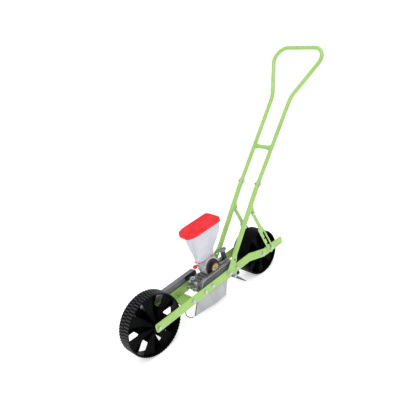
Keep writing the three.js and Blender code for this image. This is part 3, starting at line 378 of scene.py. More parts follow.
def refined(node, material, bevel, segments=2):
    """The CAD node's own solid with its flat faces merged and its edges rounded."""
    bm = bmesh.new()
    bm.from_mesh(frame["nodes"][node].data)
    bmesh.ops.remove_doubles(bm, verts=bm.verts, dist=2e-6)
    bmesh.ops.dissolve_limit(bm, angle_limit=math.radians(0.6), verts=bm.verts, edges=bm.edges)
    stand_in(node, bm, material, bevel, segments)


def rod(bm, start, end, radius, sides=32, end_radius=None):
    axis = Vector(end) - Vector(start)
    turn = axis.to_track_quat("Z", "Y").to_matrix().to_4x4()
    place = Matrix.Translation((Vector(start) + Vector(end)) / 2) @ turn
    bmesh.ops.create_cone(
        bm, cap_ends=True, segments=sides, depth=axis.length, matrix=place,
        radius1=radius, radius2=radius if end_radius is None else end_radius,
    )


def rod_x(bm, centre, x0, x1, radius, sides):
    rod(bm, (x0, centre.y, centre.z), (x1, centre.y, centre.z), radius, sides)


def lathe(bm, centre, axis, profile, sides):
    """Turns a closed profile of (height along the axis, radius), in mm, about the axis through a centre."""
    axis = Vector(axis).normalized()
    first = axis.orthogonal().normalized()
    second = axis.cross(first)
    rings = []
    for i in range(sides):
        angle = 2 * math.pi * i / sides
        out = first * math.cos(angle) + second * math.sin(angle)
        rings.append([bm.verts.new(centre + axis * h * MM + out * r * MM) for h, r in profile])
    for i, ring in enumerate(rings):
        after = rings[(i + 1) % sides]
        for j in range(len(profile)):
            k = (j + 1) % len(profile)
            bm.faces.new((ring[j], ring[k], after[k], after[j]))


def on_axis(centre):
    """The point at x = 0 of the X axis through a centre."""
    return Vector((0, centre.y, centre.z))


def lathe_x(bm, centre, profile, sides):
    """Turns a closed profile of (x, radius), in mm, about the X axis through a centre."""
    lathe(bm, on_axis(centre), (1, 0, 0), profile, sides)


def around_x(angle):
    """The directions away from and around an X axis, at an angle round it."""
    return Vector((0, math.cos(angle), math.sin(angle))), Vector((0, -math.sin(angle), math.cos(angle)))


def prism_x(bm, outline, x0, x1):
    """A solid between two planes of constant x; outline holds (y, z) pairs in metres."""
    near = [bm.verts.new((x0, y, z)) for y, z in outline]
    far = [bm.verts.new((x1, y, z)) for y, z in outline]
    bm.faces.new(near)
    bm.faces.new(list(reversed(far)))
    for i in range(len(outline)):
        j = (i + 1) % len(outline)
        bm.faces.new((near[j], near[i], far[i], far[j]))


def block(bm, low, high):
    size = Vector(high) - Vector(low)
    place = Matrix.Translation((Vector(low) + Vector(high)) / 2) @ Matrix.Diagonal((*size, 1))
    bmesh.ops.create_cube(bm, size=1, matrix=place)


def loft(bm, rings, around=False):
    """Joins rings of points; around joins the last ring to the first, otherwise both ends are capped."""
    loops = [[bm.verts.new(point) for point in ring] for ring in rings]
    pairs = list(zip(loops, loops[1:]))
    if around:
        pairs.append((loops[-1], loops[0]))
    for a, b in pairs:
        for i in range(len(a)):
            j = (i + 1) % len(a)
            bm.faces.new((a[i], a[j], b[j], b[i]))
    if not around:
        bm.faces.new(list(reversed(loops[0])))
        bm.faces.new(loops[-1])


def sweep(bm, points, radius, sides=32):
    """A round bar along a line of points, with its section carried along without twisting."""
    tangents = []
    for i in range(len(points)):
        ahead = points[min(i + 1, len(points) - 1)]
        behind = points[max(i - 1, 0)]
        tangents.append((ahead - behind).normalized())
    side = tangents[0].orthogonal().normalized()
    rings = []
    for i, (point, tangent) in enumerate(zip(points, tangents)):
        if i:
            side = tangents[i - 1].rotation_difference(tangent) @ side
        up = tangent.cross(side).normalized()
        angles = [2 * math.pi * k / sides for k in range(sides)]
        rings.append([point + radius * (side * math.cos(angle) + up * math.sin(angle)) for angle in angles])
    loft(bm, rings)


def arc(before, corner, after, radius, steps):
    """Points of a round corner between two straight lines."""
    into = (before - corner).normalized()
    out = (after - corner).normalized()
    half = into.angle(out) / 2
    reach = radius / math.tan(half)
    centre = corner + (into + out).normalized() * radius / math.sin(half)
    start = corner + into * reach - centre
    end = corner + out * reach - centre
    whole = start.angle(end)
    return [
        centre + start * (math.sin((1 - i / steps) * whole) / math.sin(whole))
        + end * (math.sin(i / steps * whole) / math.sin(whole))
        for i in range(steps + 1)
    ]


def smooth(value, low, high):
    share = min(max((value - low) / (high - low), 0.0), 1.0)
    return share * share * (3 - 2 * share)


def mixed(low, high, share):
    return low + (high - low) * share


# ---------------------------------------------------------------- fasteners
HEX = 8.2 * MM
WASHER = 9.6 * MM
HEAD = 5.3 * MM
WASHER_THICKNESS = 1.4 * MM
NUT = 4 * MM


def hex_end(bm, start, direction, height, radius=HEX):
    """A hexagon with its corners turned off on its far face."""
    direction = Vector(direction)
    shoulder = start + direction * (height - 1.0 * MM)
    rod(bm, start, shoulder, radius, 6)
    rod(bm, shoulder, shoulder + direction * 1.0 * MM, radius, 6, radius * 0.84)


def bolt_end(bm, start, direction, thread=0.0, radius=4 * MM, head=HEAD):
    direction = Vector(direction)
    rod(bm, start, start + direction * WASHER_THICKNESS, WASHER, 40)
    hex_end(bm, start + direction * WASHER_THICKNESS, direction, head)
    if thread:
        tip = start + direction * (WASHER_THICKNESS + head)
        rod(bm, tip, tip + direction * thread, radius, 20, radius * 0.85)


def bolt_x(node, out, shank, nut=True):
    """A bolt along X, with its head on the side that out (1 or -1) points to, and maybe a nut."""
    centre = middle(node)
    inner, outer = (Vector((corner.x, centre.y, centre.z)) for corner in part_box(node)[::out])
    along = Vector((out, 0, 0))
    bm = bmesh.new()
    bolt_end(bm, outer - along * (HEAD + WASHER_THICKNESS), along)
    if nut:
        hex_end(bm, inner + along * (NUT + 1 * MM), -along, NUT)
        inner += along * 0.2 * MM
    rod(bm, inner, outer - along * 3 * MM, shank, 20)
    stand_in(node, bm, ZINC, 0.25 * MM)


def tie_rod(node, radius, spacer=None):
    low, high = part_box(node)
    centre = middle(node)
    tail = HEAD + WASHER_THICKNESS + 0.6 * MM
    bm = bmesh.new()
    for out, end in ((1, high.x), (-1, low.x)):
        bolt_end(bm, Vector((end - out * tail, centre.y, centre.z)), (out, 0, 0), 0.6 * MM, radius)
    rod_x(bm, centre, low.x + 2 * MM, high.x - 2 * MM, radius, 28)
    if spacer:
        rod_x(bm, centre, -46 * MM, 46 * MM, spacer, 36)
    stand_in(node, bm, ZINC, 0.25 * MM)


def make_fasteners():
    for side, out in (("left", 1), ("right", -1)):
        bolt_x(f"cross_plate_bolt_{side}", out, 4 * MM)
        bolt_x(f"brace_pin_{side}", out, 4 * MM)
        bolt_x(f"sleeve_bolt_{side}", 1, 3 * MM)
        bolt_x(f"brace_bolt_{side}", out, 3 * MM)
        for number in (1, 2):
            bolt_x(f"body_bolt_{side}_{number}", out, 4 * MM, nut=False)
    tie_rod("handle_pivot_rod", 4 * MM)
    tie_rod("rear_tie_rod", 4 * MM, 7.5 * MM)
    tie_rod("rear_axle", 5 * MM)


# ---------------------------------------------------------------- wheels
FRONT_WHEEL = {
    "rim": [(-31, 134), (-31, 136.2), (-30, 137.3), (30, 137.3), (31, 136.2), (31, 134),
            (29, 132.4), (26, 131.6), (-26, 131.6), (-29, 132.4)],
    "hub": [(-42, 6.4), (-42, 14.5), (-40.5, 16), (-24, 19.5), (24, 19.5), (40.5, 16), (42, 14.5), (42, 6.4)],
    "plate": 18.5, "thickness": 3, "cone": 16, "cone_radius": 66, "reach": 76, "outer": 133, "first": 190,
    "draft": 0.0, "lip": 1.6,
}
REAR_WHEEL = {
    "rim": [(-45, 101.5), (-45, 104.6), (-43.6, 107.3), (-41, 108.6), (-20, 108.8), (20, 108.8), (41, 108.6),
            (43.6, 107.3), (45, 104.6), (45, 101.5), (42, 101), (-42, 101)],
    "hub": [(-48, 5.5), (-48, 15.5), (-46.5, 17), (-36, 18.5), (36, 18.5), (46.5, 17), (48, 15.5), (48, 5.5)],
    "plate": 35, "thickness": 3, "cone": 6, "cone_radius": 45, "reach": 102, "outer": 102.5, "first": 105,
    "draft": 3.4, "lip": 0.9,
}
SPOKES = 7
CLEATS = 64


def polar(centre, x, radius, angle):
    reach = radius * MM
    return Vector((x * MM, centre.y + reach * math.cos(angle), centre.z + reach * math.sin(angle)))


def wheel_sheet(bm, corners_at, radii, across):
    """A closed sheet: corners_at(radius, share) gives its two skins at a share of the way across."""
    skins = [[], []]
    for radius in radii:
        for skin in skins:
            skin.append([])
        for i in range(across + 1):
            for skin, point in zip(skins, corners_at(radius, i / across)):
                skin[-1].append(bm.verts.new(point))
    rows = len(radii)
    for skin in skins:
        for r in range(rows - 1):
            for i in range(across):
                bm.faces.new((skin[r][i], skin[r][i + 1], skin[r + 1][i + 1], skin[r + 1][i]))
    a, b = skins
    for r in range(rows - 1):
        for i in (0, across):
            bm.faces.new((a[r][i], a[r + 1][i], b[r + 1][i], b[r][i]))
    for r in (0, rows - 1):
        for i in range(across):
            bm.faces.new((a[r][i], a[r][i + 1], b[r][i + 1], b[r][i]))


def wheel_body(bm, centre, wheel):
    """Rim, hub, blades that lie by turns on the two sides, and the leaning walls between them."""
    lathe_x(bm, centre, wheel["rim"], 168)
    lathe_x(bm, centre, wheel["hub"], 48)
    step = math.pi / SPOKES
    draft = math.radians(wheel["draft"])

    def height(radius):
        return wheel["plate"] + wheel["cone"] * (1 - smooth(radius, 18, wheel["cone_radius"]))

    def radii_to(last, *outer_radii):
        return [r for r in (14, 20, 28, 38, 48, 58, *outer_radii) if r < last] + [last]

    blade_radii = radii_to(wheel["outer"], wheel["cone_radius"], 80, 95)
    wall_radii = radii_to(wheel["reach"], 75, 90)
    for i in range(2 * SPOKES):
        side = 1 if i % 2 == 0 else -1
        heading = math.radians(wheel["first"]) + i * step
        half = step / 2 - draft

        def blade(radius, share):
            angle = heading + mixed(-half, half, share)
            top = height(radius)
            return [
                polar(centre, side * (top + offset), radius, angle)
                for offset in (wheel["thickness"] / 2, -wheel["thickness"] / 2)
            ]

        def wall(radius, share):
            boundary = heading + step / 2
            x = mixed(-height(radius), height(radius), share)
            lean = -side * draft * (2 * share - 1)
            return [
                polar(centre, x, radius, boundary + lean + turn * wheel["thickness"] / 2 / radius)
                for turn in (1, -1)
            ]

        wheel_sheet(bm, blade, blade_radii, 6)
        wheel_sheet(bm, wall, wall_radii, 4)
        if wheel["lip"]:
            for edge in (-1, 0, 1):
                lip_rib(bm, centre, wheel, heading + edge * (half - 0.022), side, height, edge == 0)


def lip_rib(bm, centre, wheel, angle, side, height, slim):
    """A low radial rib standing on a blade."""
    across = around_x(angle)[1] * (0.9 if slim else 1.5) * MM
    rings = []
    for radius in (24, 34, 46, 58, 74, 92, wheel["outer"] - 1):
        base = height(radius) + wheel["thickness"] / 2 - 0.4
        top = base + wheel["lip"] * (0.7 if slim else 1.0) + 0.4
        low = polar(centre, side * base, radius, angle)
        high = polar(centre, side * top, radius, angle)
        rings.append([low - across, low + across, high + across * 0.6, high - across * 0.6])
    loft(bm, rings)


def make_front_wheel():
    bm = bmesh.new()
    wheel_body(bm, FRONT, FRONT_WHEEL)
    stand_in("front_wheel", bm, WHEEL, sharp=28)
    bm = bmesh.new()
    for row, (x0, x1) in enumerate(((-30.2, -0.8), (0.8, 30.2))):
        for i in range(CLEATS):
            out, across = around_x(2 * math.pi * (i + row / 2) / CLEATS)
            rings = []
            for radius, half, trim in ((136.8, 3.4, 0.0), (139.3, 2.9, 0.4), (140.0, 2.3, 0.9)):
                rings.append([
                    on_axis(FRONT) + Vector((x * MM, 0, 0)) + out * radius * MM + across * turn * half * MM
                    for x, turn in ((x0 + trim, -1), (x1 - trim, -1), (x1 - trim, 1), (x0 + trim, 1))
                ])
            loft(bm, rings)
    put("front_tread", bm, TYRE, "front_wheel", sharp=50)


def make_rear_wheel():
    bm = bmesh.new()
    wheel_body(bm, REAR, REAR_WHEEL)
    stand_in("rear_wheel", bm, WHEEL, sharp=28)


# ---------------------------------------------------------------- chains
PITCH = 9.525
LINK_END = 3.9 * MM
LINK_WAIST = 2.9 * MM
FRONT_CHAIN_X = middle("front_chain").x
METER_CHAIN_X = IDLER.x


def pitch_radius(teeth):
    return PITCH / (2 * math.sin(math.pi / teeth)) * MM


def loop_points(a, radius_a, b, radius_b, count):
    """Evenly spaced points, with headings, round two wheels and along both straight runs."""
    span = math.hypot(b.y - a.y, b.z - a.z)
    heading = math.atan2(b.z - a.z, b.y - a.y)
    spread = math.acos((radius_a - radius_b) / span)
    run = math.sqrt(span ** 2 - (radius_a - radius_b) ** 2)
    arc_a = radius_a * (2 * math.pi - 2 * spread)
    arc_b = radius_b * 2 * spread
    total = arc_a + arc_b + 2 * run
    found = []
    for i in range(count):
        s = total * i / count
        if s < arc_a:
            centre, radius, angle = a, radius_a, heading + spread + s / radius_a
        elif s < arc_a + run:
            centre, radius, angle = a, radius_a, heading - spread
            along = s - arc_a
        elif s < arc_a + run + arc_b:
            centre, radius, angle = b, radius_b, heading - spread + (s - arc_a - run) / radius_b
        else:
            centre, radius, angle = b, radius_b, heading + spread
            along = s - arc_a - run - arc_b
        out, tangent = around_x(angle)
        point = on_axis(centre) + out * radius
        on_run = arc_a <= s < arc_a + run or s >= arc_a + run + arc_b
        found.append(point + tangent * along if on_run else point)
    return found


def link_plate(bm, start, end, x0, x1):
    """One side plate of a link, waisted between its two round ends."""
    along = (end - start).normalized()
    up = Vector((0, -along.z, along.y))
    length = (end - start).length
    outline = []
    for centre, out in ((end, 1), (start, -1)):
        for k in range(7):
            angle = math.pi * (k / 6 - 0.5)
            outline.append(centre + out * (along * math.cos(angle) + up * math.sin(angle)) * LINK_END)
        outline.append(start + along * length / 2 + out * up * LINK_WAIST)
    prism_x(bm, [(p.y, p.z) for p in outline], x0, x1)


def make_chain(node, x, a, teeth_a, b, teeth_b, count):
    points = loop_points(a, pitch_radius(teeth_a), b, pitch_radius(teeth_b), count)
    bm = bmesh.new()
    for i, start in enumerate(points):
        end = points[(i + 1) % count]
        inner, outer = ((1.7, 2.5) if i % 2 else (2.6, 3.4))
        for side in (-1, 1):
            link_plate(bm, start, end, x + side * inner * MM, x + side * outer * MM)
        rod_x(bm, start, x - 1.8 * MM, x + 1.8 * MM, 2.9 * MM, 14)
        rod_x(bm, start, x - 3.9 * MM, x + 3.9 * MM, 1.5 * MM, 10)
    stand_in(node, bm, CHAIN, sharp=40)


# ---------------------------------------------------------------- handle
LEG_X = 50
LEG_BEND = at(LEG_X, 693.6, 431)
GRIP_KINK = at(54, 1028.4, 757.3)
GRIP_CORNER = at(167, 1224, 930)
LOWER_TUBE = 11.3 * MM
UPPER_TUBE = 9.5 * MM
PADDLE_HALF_WIDTH = 18
PADDLE_THICKNESS = 4.4
PADDLE_X = 54.9 + PADDLE_THICKNESS / 2
SPARE_HOLE = at(0, 476.5, 186)


def mirrored(point):
    return Vector((-point.x, point.y, point.z))


def leg_rings():
    """The flattened foot at the pivot, the round tube, its bend, and the sleeve around the upper tube."""
    foot = Vector((LEG_X * MM, HANDLE.y, HANDLE.z))
    direction = (LEG_BEND - foot).normalized()
    upper = (GRIP_KINK - LEG_BEND).normalized()
    sleeve_end = LEG_BEND + upper * 46 * MM
    rings = []
    sides = 44
    stations = [-17.95, -17.7, -17.1, -16, -14, -11, -7, -2, 6, 20, 40, 56, 62, 68, 74, 80, 86, 92, 98]
    for s in stations:
        roundness = smooth(s, 58, 96)
        taper = math.sqrt(max(0.0, 1 - (s / PADDLE_HALF_WIDTH) ** 2)) if s < 0 else 1
        half_width = mixed(PADDLE_HALF_WIDTH, LOWER_TUBE / MM, roundness) * taper * MM
        half_depth = mixed(PADDLE_THICKNESS / 2, LOWER_TUBE / MM, roundness) * MM
        centre = foot + direction * s * MM
        centre.x = mixed(PADDLE_X, LEG_X, roundness) * MM
        flat = mixed(0.3, 1, roundness)
        rings.append(section(centre, direction, half_depth, half_width, flat, sides))
    bend = arc(foot, LEG_BEND, sleeve_end, 55 * MM, 8)
    for i, point in enumerate(bend):
        tangent = direction.lerp(upper, i / (len(bend) - 1)).normalized()
        rings.append(section(point, tangent, LOWER_TUBE, LOWER_TUBE, 1, sides))
    for back, radius in ((1.2, LOWER_TUBE), (0.3, LOWER_TUBE - 0.5 * MM), (0, LOWER_TUBE - 1.3 * MM)):
        rings.append(section(sleeve_end - upper * back * MM, upper, radius, radius, 1, sides))
    return rings


def section(centre, tangent, half_x, half_across, flat, sides):
    across = tangent.cross(Vector((1, 0, 0))).normalized()
    points = []
    for k in range(sides):
        angle = 2 * math.pi * k / sides
        depth = math.copysign(abs(math.cos(angle)) ** flat, math.cos(angle)) * half_x
        points.append(centre + Vector((depth, 0, 0)) + across * math.sin(angle) * half_across)
    return points


def make_handle():
    for side, name in ((1, "left"), (-1, "right")):
        rings = leg_rings()
        if side < 0:
            rings = [[mirrored(point) for point in ring] for ring in rings]
        bm = bmesh.new()
        loft(bm, rings)
        hole = bmesh.new()
        rod_x(hole, SPARE_HOLE, side * 40 * MM, side * 70 * MM, 5.6 * MM, 24)
        stand_in(f"handle_leg_{name}", bm, PAINT, sharp=40, cutter=hole)
        bm = bmesh.new()
        lug = [(-12, 33), (17, 57), (9, -1), (4, -8), (-4, -8), (-9, -3)]
        outline = [(BRACE_TOP.y + y * MM, BRACE_TOP.z + z * MM) for y, z in lug]
        prism_x(bm, outline, side * 51 * MM, side * 54.9 * MM)
        put(f"brace_lug_{name}", bm, PAINT, "handle", bevel=0.7 * MM)
    start = LEG_BEND + (GRIP_KINK - LEG_BEND).normalized() * 6 * MM
    left = [start]
    left += arc(start, GRIP_KINK, GRIP_CORNER, 120 * MM, 8)
    left += arc(GRIP_KINK, GRIP_CORNER, mirrored(GRIP_CORNER), 60 * MM, 20)
    bm = bmesh.new()
    sweep(bm, left + [mirrored(point) for point in reversed(left)], UPPER_TUBE, 40)
    stand_in("handle_tube", bm, PAINT, sharp=60)
    crossbar()


def crossbar():
    """A bar between the two tubes whose ends are squeezed flat and wide."""
    centre = LEG_BEND.lerp(GRIP_KINK, 0.45)
    along = (GRIP_KINK - LEG_BEND)
    along.x = 0
    along.normalize()
    across = Vector((0, -along.z, along.y))
    reach = centre.x - 5 * MM
    rings = []
    for i in range(25):
        share = 2 * i / 24 - 1
        flare = abs(share) ** 3
        wide = mixed(9.5, 17, flare) * MM
        thick = mixed(9.5, 7.5, flare) * MM
        rings.append([
            Vector((share * reach, centre.y, centre.z))
            + along * math.cos(2 * math.pi * k / 36) * wide + across * math.sin(2 * math.pi * k / 36) * thick
            for k in range(36)
        ])
    bm = bmesh.new()
    loft(bm, rings)
    stand_in("handle_crossbar", bm, PAINT, sharp=60)


# ---------------------------------------------------------------- hopper
HOPPER_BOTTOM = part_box("hopper")[0].z / MM
HOPPER_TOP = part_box("hopper")[1].z / MM
NECK_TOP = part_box("roller_housing")[1].z / MM
LID_NOSE = 11


def bezier(p0, p1, p2, p3, steps):
    found = []
    for i in range(1, steps + 1):
        t = i / steps
        found.append(tuple(
            (1 - t) ** 3 * a + 3 * (1 - t) ** 2 * t * b + 3 * (1 - t) * t * t * c + t ** 3 * d
            for a, b, c, d in zip(p0, p1, p2, p3)
        ))
    return found


def unit_outline():
    """The tub's outline at unit half size, round at the front (-Y) and nearly square at the back."""
    half = [(0.0, 1.0), (0.3, 1.0), (0.62, 1.0)]
    half += bezier((0.62, 1), (0.9, 1), (1, 0.94), (1, 0.84), 7)
    half += [(1, 0.5), (1, 0.1), (1, -0.2), (1, -0.45)]
    half += bezier((1, -0.45), (1, -0.8), (0.7, -1), (0.3, -1), 10)
    half += [(0.0, -1.0)]
    return half + [(-x, y) for x, y in reversed(half[1:-1])]


OUTLINE = unit_outline()


def tub_share(z):
    return min(max((z - HOPPER_BOTTOM) / (HOPPER_TOP - HOPPER_BOTTOM), 0.0), 1.0)


def tub_rear(z):
    return mixed(399, 456, smooth(tub_share(z), 0.05, 0.85))


def tub_ring(z, outset, nose=0.0):
    share = tub_share(z)
    half_width = mixed(20, 41, smooth(share, 0.05, 0.85)) + outset
    front = mixed(309, 284, share) - nose
    rear = tub_rear(z)
    half_length = (rear - front) / 2 + outset
    return [at(x * half_width, (front + rear) / 2 + y * half_length, z) for x, y in OUTLINE]


def make_hopper():
    heights = [mixed(HOPPER_BOTTOM, HOPPER_TOP, i / 22) for i in range(23)]
    outer = [tub_ring(z, 0) for z in heights]
    inner = [tub_ring(z, -2) for z in reversed(heights)]
    bm = bmesh.new()
    loft(bm, outer + inner, around=True)
    stand_in("hopper", bm, CLEAR, sharp=50)
    bm = bmesh.new()
    rib_heights = [258 + 9 * i for i in range(8)]
    outline = [(tub_rear(z) + mixed(5.5, 0.6, i / 7), z) for i, z in enumerate(rib_heights)]
    outline += [(tub_rear(z) - 1.4, z) for z in reversed(rib_heights)]
    for x in (-14, -7, 0, 7, 14):
        prism_x(bm, world_outline(outline), (x - 0.9) * MM, (x + 0.9) * MM)
    put("hopper_rear_ribs", bm, CLEAR_RIB, "frame", bevel=0.3 * MM)
    lid_steps = [
        (399.0, 4.0), (399.6, 4.6), (413.5, 4.7), (416.2, 4.2), (418.4, 3.0), (419.7, 1.4), (420.0, -0.4),
        (419.9, -2.0), (419.1, -3.2), (418.8, -4.6), (418.9, -12), (419.2, -24), (419.3, -34),
    ]
    lid = [tub_ring(404.4, 0.8), tub_ring(399.2, 0.8)]
    lid += [tub_ring(z, outset, LID_NOSE) for z, outset in lid_steps]
    bm = bmesh.new()
    loft(bm, lid)
    stand_in("hopper_lid", bm, RED, sharp=40)
    low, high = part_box("hopper_gasket")
    bm = bmesh.new()
    lip_end = Vector((high.x, low.y, high.z))
    block(bm, low + Vector((1.6, -0.4, 1.1)) * MM, lip_end + Vector((-1.6, 5.0, -1.1)) * MM)
    for x in (low.x + 2.6 * MM, high.x - 5.6 * MM):
        block(bm, (x, low.y, low.z + 1.7 * MM), (x + 3 * MM, high.y - 2.6 * MM, high.z - 1.7 * MM))
    block(bm, (low.x + 2.6 * MM, high.y - 6 * MM, low.z + 1.7 * MM), high + Vector((-2.6, -2.6, -1.7)) * MM)
    stand_in("hopper_gasket", bm, RED, 0.2 * MM)
    low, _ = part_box("hopper_latch")
    knob_front = Vector((middle("hopper_latch").x, low.y, low.z + 9 * MM))
    knob_profile = [(0, 1), (0, 6.4), (1.2, 8.2), (3, 9), (9, 9), (11.5, 8.4), (13, 7), (14, 4), (14, 1)]
    bm = bmesh.new()
    lathe(bm, knob_front, (0, 1, 0), knob_profile, 36)
    stand_in("hopper_latch", bm, RED, sharp=50)
    bm = bmesh.new()
    rod(bm, knob_front + Vector((0, 13 * MM, 0)), knob_front + Vector((0, 24 * MM, 0)), 3 * MM, 24)
    put("latch_stem", bm, BLACK, "latch", bevel=0.3 * MM)


# ---------------------------------------------------------------- metering unit
def make_metering():
    axis = on_axis(METER)
    bm = bmesh.new()
    drum = [(-30, 5.4), (-30, 36.5), (-28.8, 38.4), (22, 38.4), (22, 37), (-27, 37), (-27, 5.4)]
    lathe_x(bm, axis, drum, 84)
    stand_in("roller_housing", bm, CLEAR_SKIN, sharp=35)
    bm = bmesh.new()
    for i in range(6):
        x = -25 + 8.2 * i
        lathe_x(bm, axis, [(x - 1.4, 38.2), (x - 1.0, 42.4), (x + 1.0, 42.4), (x + 1.4, 38.2)], 84)
    for i in range(16):
        out, across = around_x(2 * math.pi * i / 16)
        across = across * 0.8 * MM
        rings = []
        for x in (-28, 20):
            start = axis + Vector((x * MM, 0, 0))
            low, high = start + out * 38 * MM, start + out * 41.4 * MM
            rings.append([low - across, low + across, high + across, high - across])
        loft(bm, rings)
    put("housing_ribs", bm, CLEAR_RIB, "frame", sharp=35)
    top = NECK_TOP
    outline = world_outline([
        (307, top), (401, top), (401, 216), (392, 203), (331, 196), (318, 206), (307, 228),
    ])
    bm = bmesh.new()
    for x0, x1 in ((17.4, 20), (-20, -17.4)):
        prism_x(bm, outline, x0 * MM, x1 * MM)
    block(bm, at(-17.4, 398.5, 214), at(17.4, 401, top))
    block(bm, at(-17.4, 307, 228), at(17.4, 309.5, top))
    slope = [(307, 228), (318, 206), (320.4, 207.4), (309.5, 229)]
    prism_x(bm, world_outline(slope), -17.4 * MM, 17.4 * MM)
    for y in range(316, 396, 10):
        for x0, x1 in ((20, 21.6), (-21.6, -20)):
            block(bm, at(x0, y, 214), at(x1, y + 1.8, top))
    put("housing_neck", bm, CLEAR_SKIN, "frame", bevel=0.35 * MM)
    end_cap(axis)
    star(axis)
    refined("roller_shaft", SHAFT, 0.25 * MM)
    refined("seed_roller", ROLLER, 0.4 * MM)


def end_cap(axis):
    """The drum's ribbed cap, with its profile counted from its inner face."""
    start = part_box("roller_end_cap")[0].x / MM
    profile = [
        (0, 5.5), (0, 35.4), (0.8, 36.4), (3.4, 36.4), (4.2, 35.4), (4.2, 32), (2.8, 31.2), (2.8, 14),
        (6.2, 12.5), (6.5, 11.5), (6.5, 5.5),
    ]
    bm = bmesh.new()
    lathe_x(bm, axis, [(start + x, radius) for x, radius in profile], 72)
    stand_in("roller_end_cap", bm, BLACK, sharp=35)
    bm = bmesh.new()
    for i in range(12):
        out, across = around_x(2 * math.pi * i / 12)
        rings = []
        for radius, high in ((13, 6.0), (22, 5.0), (31.8, 4.2)):
            base = axis + out * radius * MM
            rings.append([
                base + Vector(((start + x) * MM, 0, 0)) + across * turn * MM
                for x, turn in ((2.6, -0.9), (2.6, 0.9), (high, 0.6), (high, -0.6))
            ])
        loft(bm, rings)
    put("end_cap_ribs", bm, CAP_RIB, "frame")


def star(axis):
    """The star wheel that the chain turns, with long pointed teeth and a raised hub."""
    x = METER_CHAIN_X / MM
    teeth = 14
    tooth = [
        (14.2, -0.42), (15.6, -0.28), (22.4, -0.06), (22.9, 0.0), (22.4, 0.06), (15.6, 0.28), (14.2, 0.42),
    ]
    outline = []
    for i in range(teeth):
        for radius, turn in tooth:
            point = polar(axis, x, radius, 2 * math.pi * (i + turn) / teeth)
            outline.append((point.y, point.z))
    bm = bmesh.new()
    prism_x(bm, outline, (x - 1.6) * MM, (x + 1.6) * MM)
    hub = [(x - 3, 5.3), (x - 3, 12), (x - 2, 13.5), (x + 2, 13.5), (x + 3.2, 11), (x + 3.2, 5.3)]
    lathe_x(bm, axis, hub, 40)
    stand_in("roller_sprocket", bm, BRASS, 0.25 * MM)


def bar_outline(low_y, high_y, low_z, high_z, front, rear, steps=14):
    """A long outline in (y, z) with round ends of two radii, all in mm."""
    found = []
    for cy, cz, radius, first in (
        (low_y + front, low_z + front, front, 180), (high_y - rear, low_z + rear, rear, 270),
        (high_y - rear, high_z - rear, rear, 0), (low_y + front, high_z - front, front, 90),
    ):
        for i in range(steps + 1):
            angle = math.radians(first + 90 * i / steps)
            point = (cy + radius * math.cos(angle), cz + radius * math.sin(angle))
            if not found or math.dist(point, found[-1]) > 0.05:
                found.append(point)
    if math.dist(found[0], found[-1]) < 0.05:
        found.pop()
    return found


def world_outline(outline):
    return [(y * MM + ORIGIN_Y, z * MM) for y, z in outline]


def make_chain_case():
    refined("chain_case", LIGHT_CAST, 1.2 * MM, 3)
    outer = 46.5
    cover = world_outline(bar_outline(270.5, 459, 118.5, 182.5, 31.5, 17.5))
    bm = bmesh.new()
    prism_x(bm, cover, (outer - 0.4) * MM, (outer + 1.1) * MM)
    put("chain_case_cover", bm, CASE, "frame", bevel=0.35 * MM)
    bm = bmesh.new()
    for z, y0, y1 in ((179, 292, 446), (172.5, 283, 454), (166, 278, 458), (159.5, 275, 459)):
        block(bm, at(outer + 0.9, y0, z - 1.3), at(outer + 2.5, y1, z + 1.3))
    put("chain_case_bars", bm, GREY, "frame", bevel=0.5 * MM)
    bm = bmesh.new()
    for z, x0, x1 in ((190, 34.5, 36.2), (190, 44.0, 45.8)):
        for y0, y1 in ((304, 344), (394, 440)):
            block(bm, at(x0, y0, z - 0.5), at(x1, y1, z + 1.6))
    put("chain_case_ridges", bm, CASE, "frame", bevel=0.5 * MM)


def make_base():
    refined("meter_base", CAST, 1.1 * MM, 3)
    bm = bmesh.new()
    boss = [
        (194.8, 4.2), (194.8, 11.6), (195.6, 12.4), (197.0, 12.4), (197.8, 11.4), (197.8, 6.6), (196.4, 5.6),
        (196.4, 4.2),
    ]
    lathe(bm, at(-4, 268, 0), (0, 0, 1), boss, 48)
    for x, y, z in ((22, 258, 184), (-24, 330, 170), (-24, 300, 170)):
        bolt_end(bm, at(x, y, z), (0, 0, 1), head=4 * MM)
    for x, y, z in ((-22, 249, 154), (8, 264, 138), (24, 249, 158)):
        bolt_end(bm, at(x, y, z), (0, -1, 0), head=4 * MM)
    port = [(-6, 4), (-6, 11), (1, 11), (2, 10), (2, 6.4), (0, 6), (0, 4)]
    lathe(bm, at(8, 248, 150), (0, -1, 0), port, 40)
    socket = [(-4, 1), (-4, 8), (5, 8), (6, 7), (6, 4.5), (4, 4), (4, 1)]
    lathe(bm, at(-21, 262, 172), (0, 0, 1), socket, 32)
    put("base_fittings", bm, ZINC, "frame", bevel=0.25 * MM)
    bm = bmesh.new()
    rod(bm, at(-4, 268, 190), at(-4, 268, 196.6), 4.3 * MM, 24)
    put("base_boss_plug", bm, BLACK, "frame", bevel=0.3 * MM)
    bm = bmesh.new()
    for y0, y1, z0, z1 in ((284, 288, 166, 176), (300, 304, 166, 182), (318, 322, 166, 184)):
        block(bm, at(-30, y0, z0), at(28, y1, z1))
    block(bm, at(-30, 284, 150), at(-27, 400, 178))
    block(bm, at(20, 410, 176), at(31.5, 462, 194))
    block(bm, at(-16, 412, 176), at(-4, 452, 188))
    put("base_webs", bm, CAST, "frame", bevel=0.9 * MM, segments=3)


